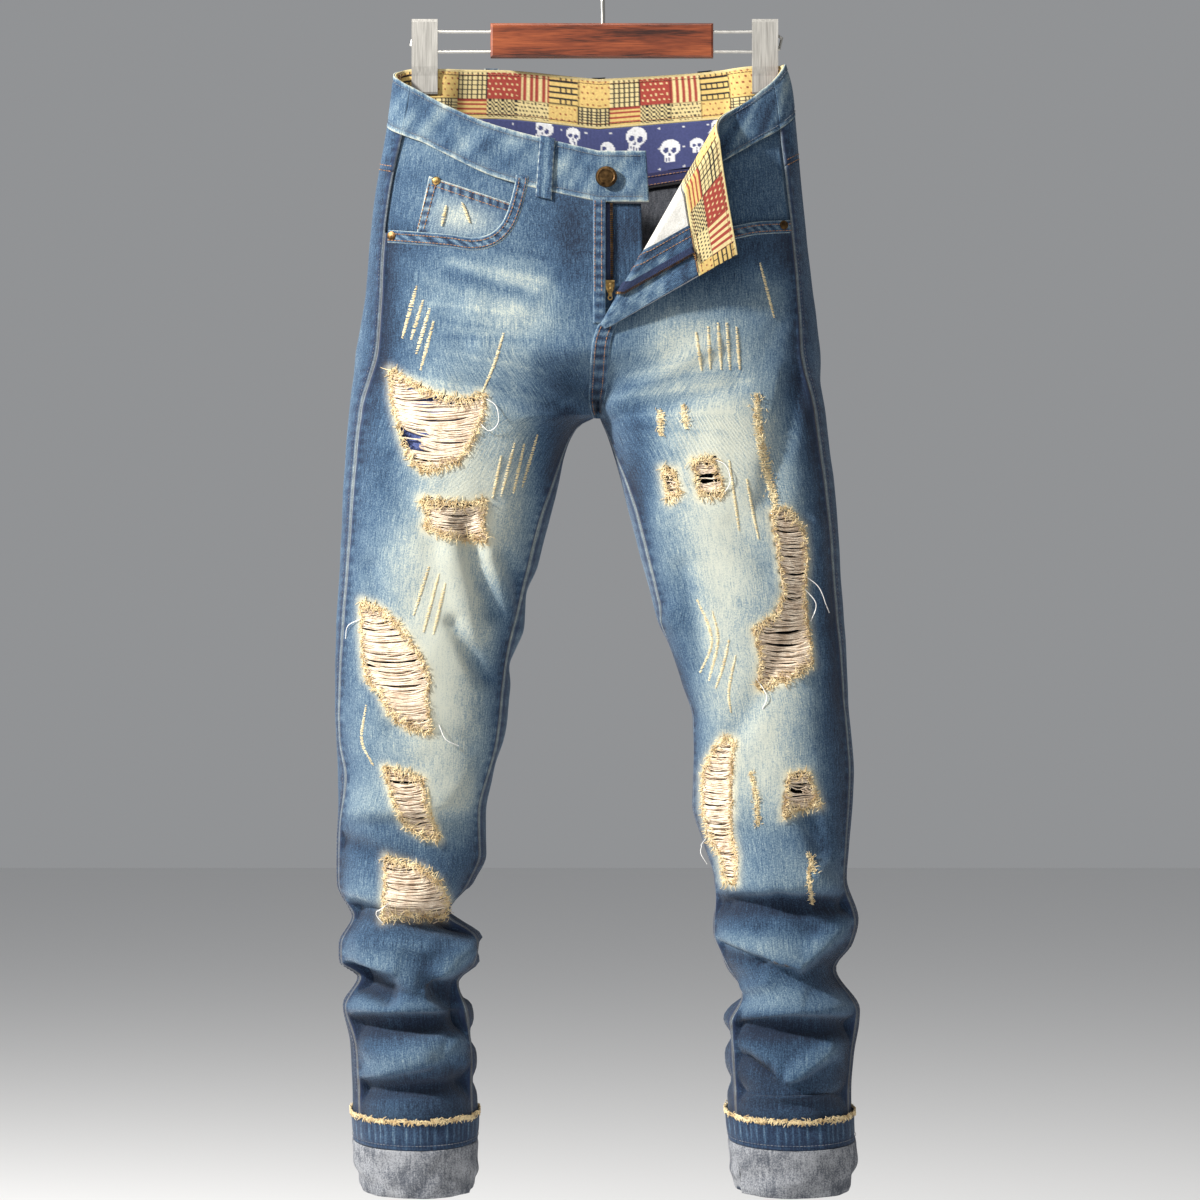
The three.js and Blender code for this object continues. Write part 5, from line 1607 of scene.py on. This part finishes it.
for side in ("right", "left"):
    threads, fringe = [], []
    for outline in rips[side].values():
        threads += weftLines(side, outline)
        fringe += edgeHairs(side, outline)
    threadPiece(f"weft_threads_{side}", threads, weft["radius"], finish["weft"])
    threadPiece(f"frayed_edges_{side}", fringe, 0.42, finish["fringe"])
print("rips ready")

# scratches: rows of short pale wefts
# places along each, then its width
scratches = {
    "right": [[[-171, -341, -184, -388], 3.2], [[-165, -354, -176, -390], 3.2],
              [[-159, -362, -171, -403], 3], [[-155, -373, -167, -418], 2.8],
              [[-91, -385, -99, -412, -110, -438], 2.6], [[-93, -497, -101, -536], 2.6],
              [[-81, -486, -93, -533], 2.6], [[-72, -486, -82, -531], 2.6], [[-60, -477, -74, -525], 2.6],
              [[-159, -598, -173, -642], 2.8], [[-150, -605, -164, -658], 2.8],
              [[-144, -613, -155, -660], 2.8], [[-144, -267, -148, -286], 2.4],
              [[-129, -265, -122, -283], 2.4], [[-217, -725, -221, -757, -210, -780], 2.2],
              [[-160, -800, -156, -830, -146, -846], 3]],
    "left": [[[85, -384, 90, -419], 2.8], [[96, -379, 98, -418], 2.8], [[105, -375, 108, -418], 2.8],
             [[113, -375, 116, -418], 2.8], [[122, -379, 125, -418], 2.6], [[144, -320, 157, -370], 2.4],
             [[115, -501, 120, -536, 124, -564], 2.6], [[131, -518, 137, -550, 142, -573], 2.6],
             [[86, -628, 96, -651, 99, -670, 89, -695], 2.6], [[100, -639, 105, -665, 97, -702], 2.6],
             [[115, -665, 110, -688, 103, -709], 2.6], [[121, -679, 115, -711, 117, -731], 2.4],
             [[135, -785, 140, -808, 142, -835], 4.6], [[192, -863, 188, -880, 192, -908], 3.4],
             [[140, -440, 142, -472, 147, -500, 154, -527, 158, -545], 8.5],
             [[188, -860, 193, -878], 4.0], [[52, -455, 53, -478], 6.0], [[73, -450, 76, -472], 5.0]],
}
for side in ("right", "left"):
    lines, tufts = [], []
    for flat, width in scratches[side]:
        path = evenly(smoothPath(np.array(flat, float).reshape(-1, 2), 1.5), 1.15)
        taper = np.sin(np.linspace(0.25, math.pi - 0.25, len(path))) ** 0.5
        for (x, z), narrow in zip(path, taper):
            half = width / 1.7 * narrow * draws.uniform(0.7, 1.25)
            t = np.array([-1.0, 0.0, 1.0])
            slip = draws.normal(0, 0.3)
            height = z + slip + draws.normal(0, 0.3) * t - 0.35 * (t == 0)
            lines.append((onPanel(side, x + half * t, height, np.array([-0.3, 0.5, -0.3])), 1.15))
        if width > 3.3:
            edge = np.repeat(path, 2, axis=0) + draws.normal(0, width / 3, (2 * len(path), 2)) * (1, 0.3)
            tufts += hairs(side, edge[:, 0], edge[:, 1], draws.uniform(0, 2 * math.pi, len(edge)),
                           draws.uniform(1.6, 4.2, len(edge)), 1.6)
    threadPiece(f"scratches_{side}", lines, 0.4, finish["scratch"])
    if tufts:
        threadPiece(f"fuzz_{side}", tufts, 0.36, finish["fringe"])

# loose white threads
loose = {
    "right": [[-109, -444, -98, -452, -96, -466, -104, -474, -113, -466],
              [-222, -646, -232, -652, -236, -664], [-150, -742, -144, -756, -132, -762],
              [-196, -905, -206, -914, -200, -926]],
    "left": [[184, -606, 196, -616, 203, -632, 207, -640], [184, -618, 194, -632, 190, -648],
             [140, -700, 150, -716, 146, -728], [101, -500, 112, -506, 116, -520, 110, -532],
             [96, -846, 90, -860, 96, -872]],
}
for side in ("right", "left"):
    lines = []
    for flat in loose[side]:
        path = smoothPath(np.array(flat, float).reshape(-1, 2), 1.5)
        lift = 0.4 + 2.2 * np.sin(np.linspace(0, math.pi, len(path)))
        lines.append((onPanel(side, path[:, 0], path[:, 1], lift), 1.0))
    threadPiece(f"loose_threads_{side}", lines, 0.42, finish["white"])

# raw edge at the top of each turn-up
for side in ("right", "left"):
    count = 900
    w = draws.uniform(-1, 1, count)
    base = form["hemTopZ"] + hemTilt(w) + draws.normal(0, 0.8, count)
    lean, rise = draws.normal(0, 0.02, count), draws.uniform(-3.4, 3.6, count)
    placed = []
    for s in (0, 0.3, 0.65, 1.0):
        height = base + rise * s + 0.6 * math.sin(5 * s)
        placed.append(onForm(side, w + lean * s, height, 1.7 + 1.4 * math.sin(s * 2.6)))
    lines = [(np.array([p[i] for p in placed]), [1.2, 1.0, 0.9, 0.5]) for i in range(count)]
    threadPiece(f"raw_hem_{side}", lines, 0.42, finish["fringe"])
print("frayed edges ready")


# stitching
def bandRow(side, share, start, end):
    w = np.linspace(start, end, 160)
    return onForm(side, w, mixOver(bandTop(side, w), bandFoot(side, w), share), 0.45)


def flapRow(share, place, lift):
    u = np.linspace(0.02, 1.0, 120)
    return place(u, np.full_like(u, share), lift)


def panelRow(side, path, offset, lift, front=True):
    way = smoothPath(path, 1.5)
    way = way + waysOf(way)[1] * offset
    return onPanel(side, way[:, 0], way[:, 1], lift, front)


def seatRow(side, start, end):
    away = -1 if side == "right" else 1
    path = [[form["centreX"] + away * across, z] for across, z in (start, end)]
    return stitchesAlong(panelRow(side, path, 0, 1.8, False))


brown, blue, orange = [], [], []
for share in (0.1, 0.9):
    blue += stitchesAlong(bandRow("right", share, 0.02, 1.17))
    blue += stitchesAlong(bandRow("left", share, 0.02, 0.42))
    blue += stitchesAlong(flapRow(share, bandFlap, 0.5))
    blue += stitchesAlong(backBand(np.linspace(0.01, 0.99, 300), np.full(300, share), 0.8))
    orange += stitchesAlong(flapRow(share, bandFacing, 0.0) - (0, 1.1, 0))
    orange += stitchesAlong(backBand(np.linspace(0.02, 0.98, 300), np.full(300, share), -2.9))
for side, offsets in (("right", (2.2, 8.2)), ("left", (-2.2, -8.2))):
    for offset in offsets:
        brown += stitchesAlong(panelRow(side, scoops[side], offset, 1.1))
for offset in (1.5, 7.5):
    brown += stitchesAlong(panelRow("right", [[-158, -240 - offset], [-80, -267 - offset]], 0, -0.9))
    brown += stitchesAlong(panelRow("right", [[-161 + offset, -246], [-173 + offset, -292]], 0, -0.9))
for side in ("right", "left"):
    for inset in (2.5, 8.5):
        low = seatPocket["foot"] + inset * 0.8
        outline = [(34 + inset, -284), (41 + inset, low), (93, low - 16), (145 - inset, low),
                   (152 - inset, -276)]
        for start, end in zip(outline, outline[1:]):
            brown += seatRow(side, start, end)
    for rise in (-3.0, -9.0):
        brown += seatRow(side, (36, -278 + rise), (150, -272 + rise))
        w = -np.linspace(0.02, 0.98, 200)
        brown += stitchesAlong(cloth(side, w, yokeFoot(side, w) + 4 + rise * 0.8 + 3, 0.3))
    ring = np.linspace(-1, 1, 400)
    height = mixOver(form["hemTopZ"], form["hemStitchZ"], hemStitchShare) + hemTilt(ring)
    blue += stitchesAlong(onForm(side, ring, height, 2.3))
    rows = np.linspace(-300, -1085, 500)
    blue += stitchesAlong(cloth(side, np.full(500, -0.018), rows, 0.3), 3.6, 2.2)
# the fly: along the centre front, and the facing of the turned corner
for across in (-7.4, -1.2):
    heights = np.linspace(-263, -350, 80)
    orange += stitchesAlong(acrossRight(np.full(80, across), heights, 1.05))
for share in (0.2, 0.72):
    rows = np.linspace(0.12, 0.98, 90)
    orange += stitchesAlong(overlapPlace(np.full(90, share), rows, 0.15))
for reach in (37.5, 31.5):
    share = np.linspace(0.04, edgeShare - 0.02, 120)
    up = underFoot(share, upAcross(share, reach))
    orange += stitchesAlong(onFan(share, up, -3.1 - flapSoft(share, up)))
for share in (0.25, 0.75):
    orange += stitchesAlong(liningHemCloth(np.linspace(0.02, 0.98, 260), np.full(260, share), -1.9))
threadPiece("brown_stitching", brown, 0.42, finish["stitch"])
threadPiece("blue_stitching", blue, 0.38, finish["blueStitch"])
threadPiece("orange_stitching", orange, 0.38, finish["stitch"])
print("stitching ready")


# zip teeth
toothSize = {"across": 2.6, "up": 1.3, "along": 1.0, "pitch": 1.9}


# across is about the way that each tooth points
def teethAlong(name, path, across):
    bm = bmesh.new()
    even = evenly(path, toothSize["pitch"])
    scale = Matrix.Diagonal((toothSize["across"] * mm, toothSize["up"] * mm, toothSize["along"] * mm, 1))
    for at, way in zip(even, np.gradient(even, axis=0)):
        ahead = Vector(way).normalized()
        sideways = (Vector(across) - ahead * Vector(across).dot(ahead)).normalized()
        up = sideways.cross(ahead)
        turn = Matrix((sideways, up, ahead)).transposed().to_4x4()
        bmesh.ops.create_cube(bm, size=1, matrix=Matrix.Translation(Vector(at) * mm) @ turn @ scale)
    bmesh.ops.bevel(bm, geom=bm.edges[:], offset=0.00022, segments=1, profile=0.5, affect="EDGES",
                    material=-1)
    return finishPiece(bm, name, [finish["brass"]], smooth=False)


heights = np.linspace(-266, -336, 80)
teethAlong("zip_teeth_right", acrossRight(np.full(80, 8.0), heights, -1.6), (1.0, 0.0, 0.0))
share = np.linspace(0.09, 0.5, 120)
up = tapeStart(share)
leftTeeth = onFan(share, up, -5.2 - flapSoft(share, up))
teethAlong("zip_teeth_left", leftTeeth, (0.3, 0.0, 1.0))

# hanger and metal trim
carried = {
    "brass": ["button", "rivet_right_side", "rivet_left_side"],
    "brightBrass": ["zip_slider", "zip_pull"],
    "wood": ["wood_bar"],
    "steel": ["hook", "rod_loop"],
    "clip": ["clip_right_front", "clip_right_back", "clip_left_front", "clip_left_back"],
}
for kind, names in carried.items():
    for name in names:
        for slot in bpy.data.objects[name].material_slots:
            slot.material = finish[kind]
coinRivet = bmesh.new()
bmesh.ops.create_cone(coinRivet, cap_ends=True, segments=20, radius1=0.0042, radius2=0.0026, depth=0.0016)
bmesh.ops.bevel(coinRivet, geom=coinRivet.edges[:], offset=0.0003, segments=2, profile=0.5, affect="EDGES",
                material=-1)
spot, above = onPanel("right", [-153.5, -153.5], [-243.5, -243.5], [-0.2, 0.8])
lean = Vector(above - spot).to_track_quat("Z", "Y").to_matrix().to_4x4()
bmesh.ops.transform(coinRivet, matrix=Matrix.Translation(Vector(spot) * mm) @ lean, verts=coinRivet.verts)
finishPiece(coinRivet, "coin_rivet", [finish["brightBrass"]])
print("trim ready")


# floor, light and camera
floorSize, floorPlace = 7, (0, 2, -1.32)
floorMesh = bmesh.new()
bmesh.ops.create_grid(floorMesh, x_segments=1, y_segments=1, size=floorSize)
bmesh.ops.translate(floorMesh, verts=floorMesh.verts, vec=floorPlace)
floorData = bpy.data.meshes.new("floor")
floorMesh.to_mesh(floorData)
floorMesh.free()
floor = bpy.data.objects.new("floor", floorData)
bpy.context.scene.collection.objects.link(floor)
floorMaterial, floorShader = newMaterial("pale floor", 0.9)
floorShader.inputs["Base Color"].default_value = (0.82, 0.82, 0.82, 1)
floorData.materials.append(floorMaterial)

world = bpy.data.worlds.new("pale room")
bpy.context.scene.world = world
world.use_nodes = True
world.node_tree.nodes["Background"].inputs["Color"].default_value = (0.95, 0.97, 1.0, 1)
world.node_tree.nodes["Background"].inputs["Strength"].default_value = 0.3


def areaLight(name, place, target, size, power, colour):
    data = bpy.data.lights.new(name, "AREA")
    data.shape = "DISK"
    data.size = size
    data.energy = power
    data.color = colour
    light = bpy.data.objects.new(name, data)
    light.location = place
    light.rotation_euler = (Vector(target) - Vector(place)).to_track_quat("-Z", "Y").to_euler()
    bpy.context.scene.collection.objects.link(light)


areaLight("key", (-2.3, -1.22, 1.05), (0, -0.05, -0.6), 0.26, 214, (1.0, 0.98, 0.95))
areaLight("top", (-0.3, -1.2, 1.4), (0, -0.05, -0.4), 0.8, 10, (1.0, 0.99, 0.97))

view = {"width": 1.104, "away": 5.0, "x": -0.00276, "z": -0.6284, "planeY": -0.03}
cameraData = bpy.data.cameras.new("camera")
cameraData.sensor_width = 36
cameraData.lens = 36 * view["away"] / view["width"]
camera = bpy.data.objects.new("camera", cameraData)
camera.location = (view["x"], view["planeY"] - view["away"], view["z"])
camera.rotation_euler = (math.radians(90), 0, 0)
bpy.context.scene.collection.objects.link(camera)
bpy.context.scene.camera = camera
bpy.context.scene.view_settings.view_transform = "Standard"
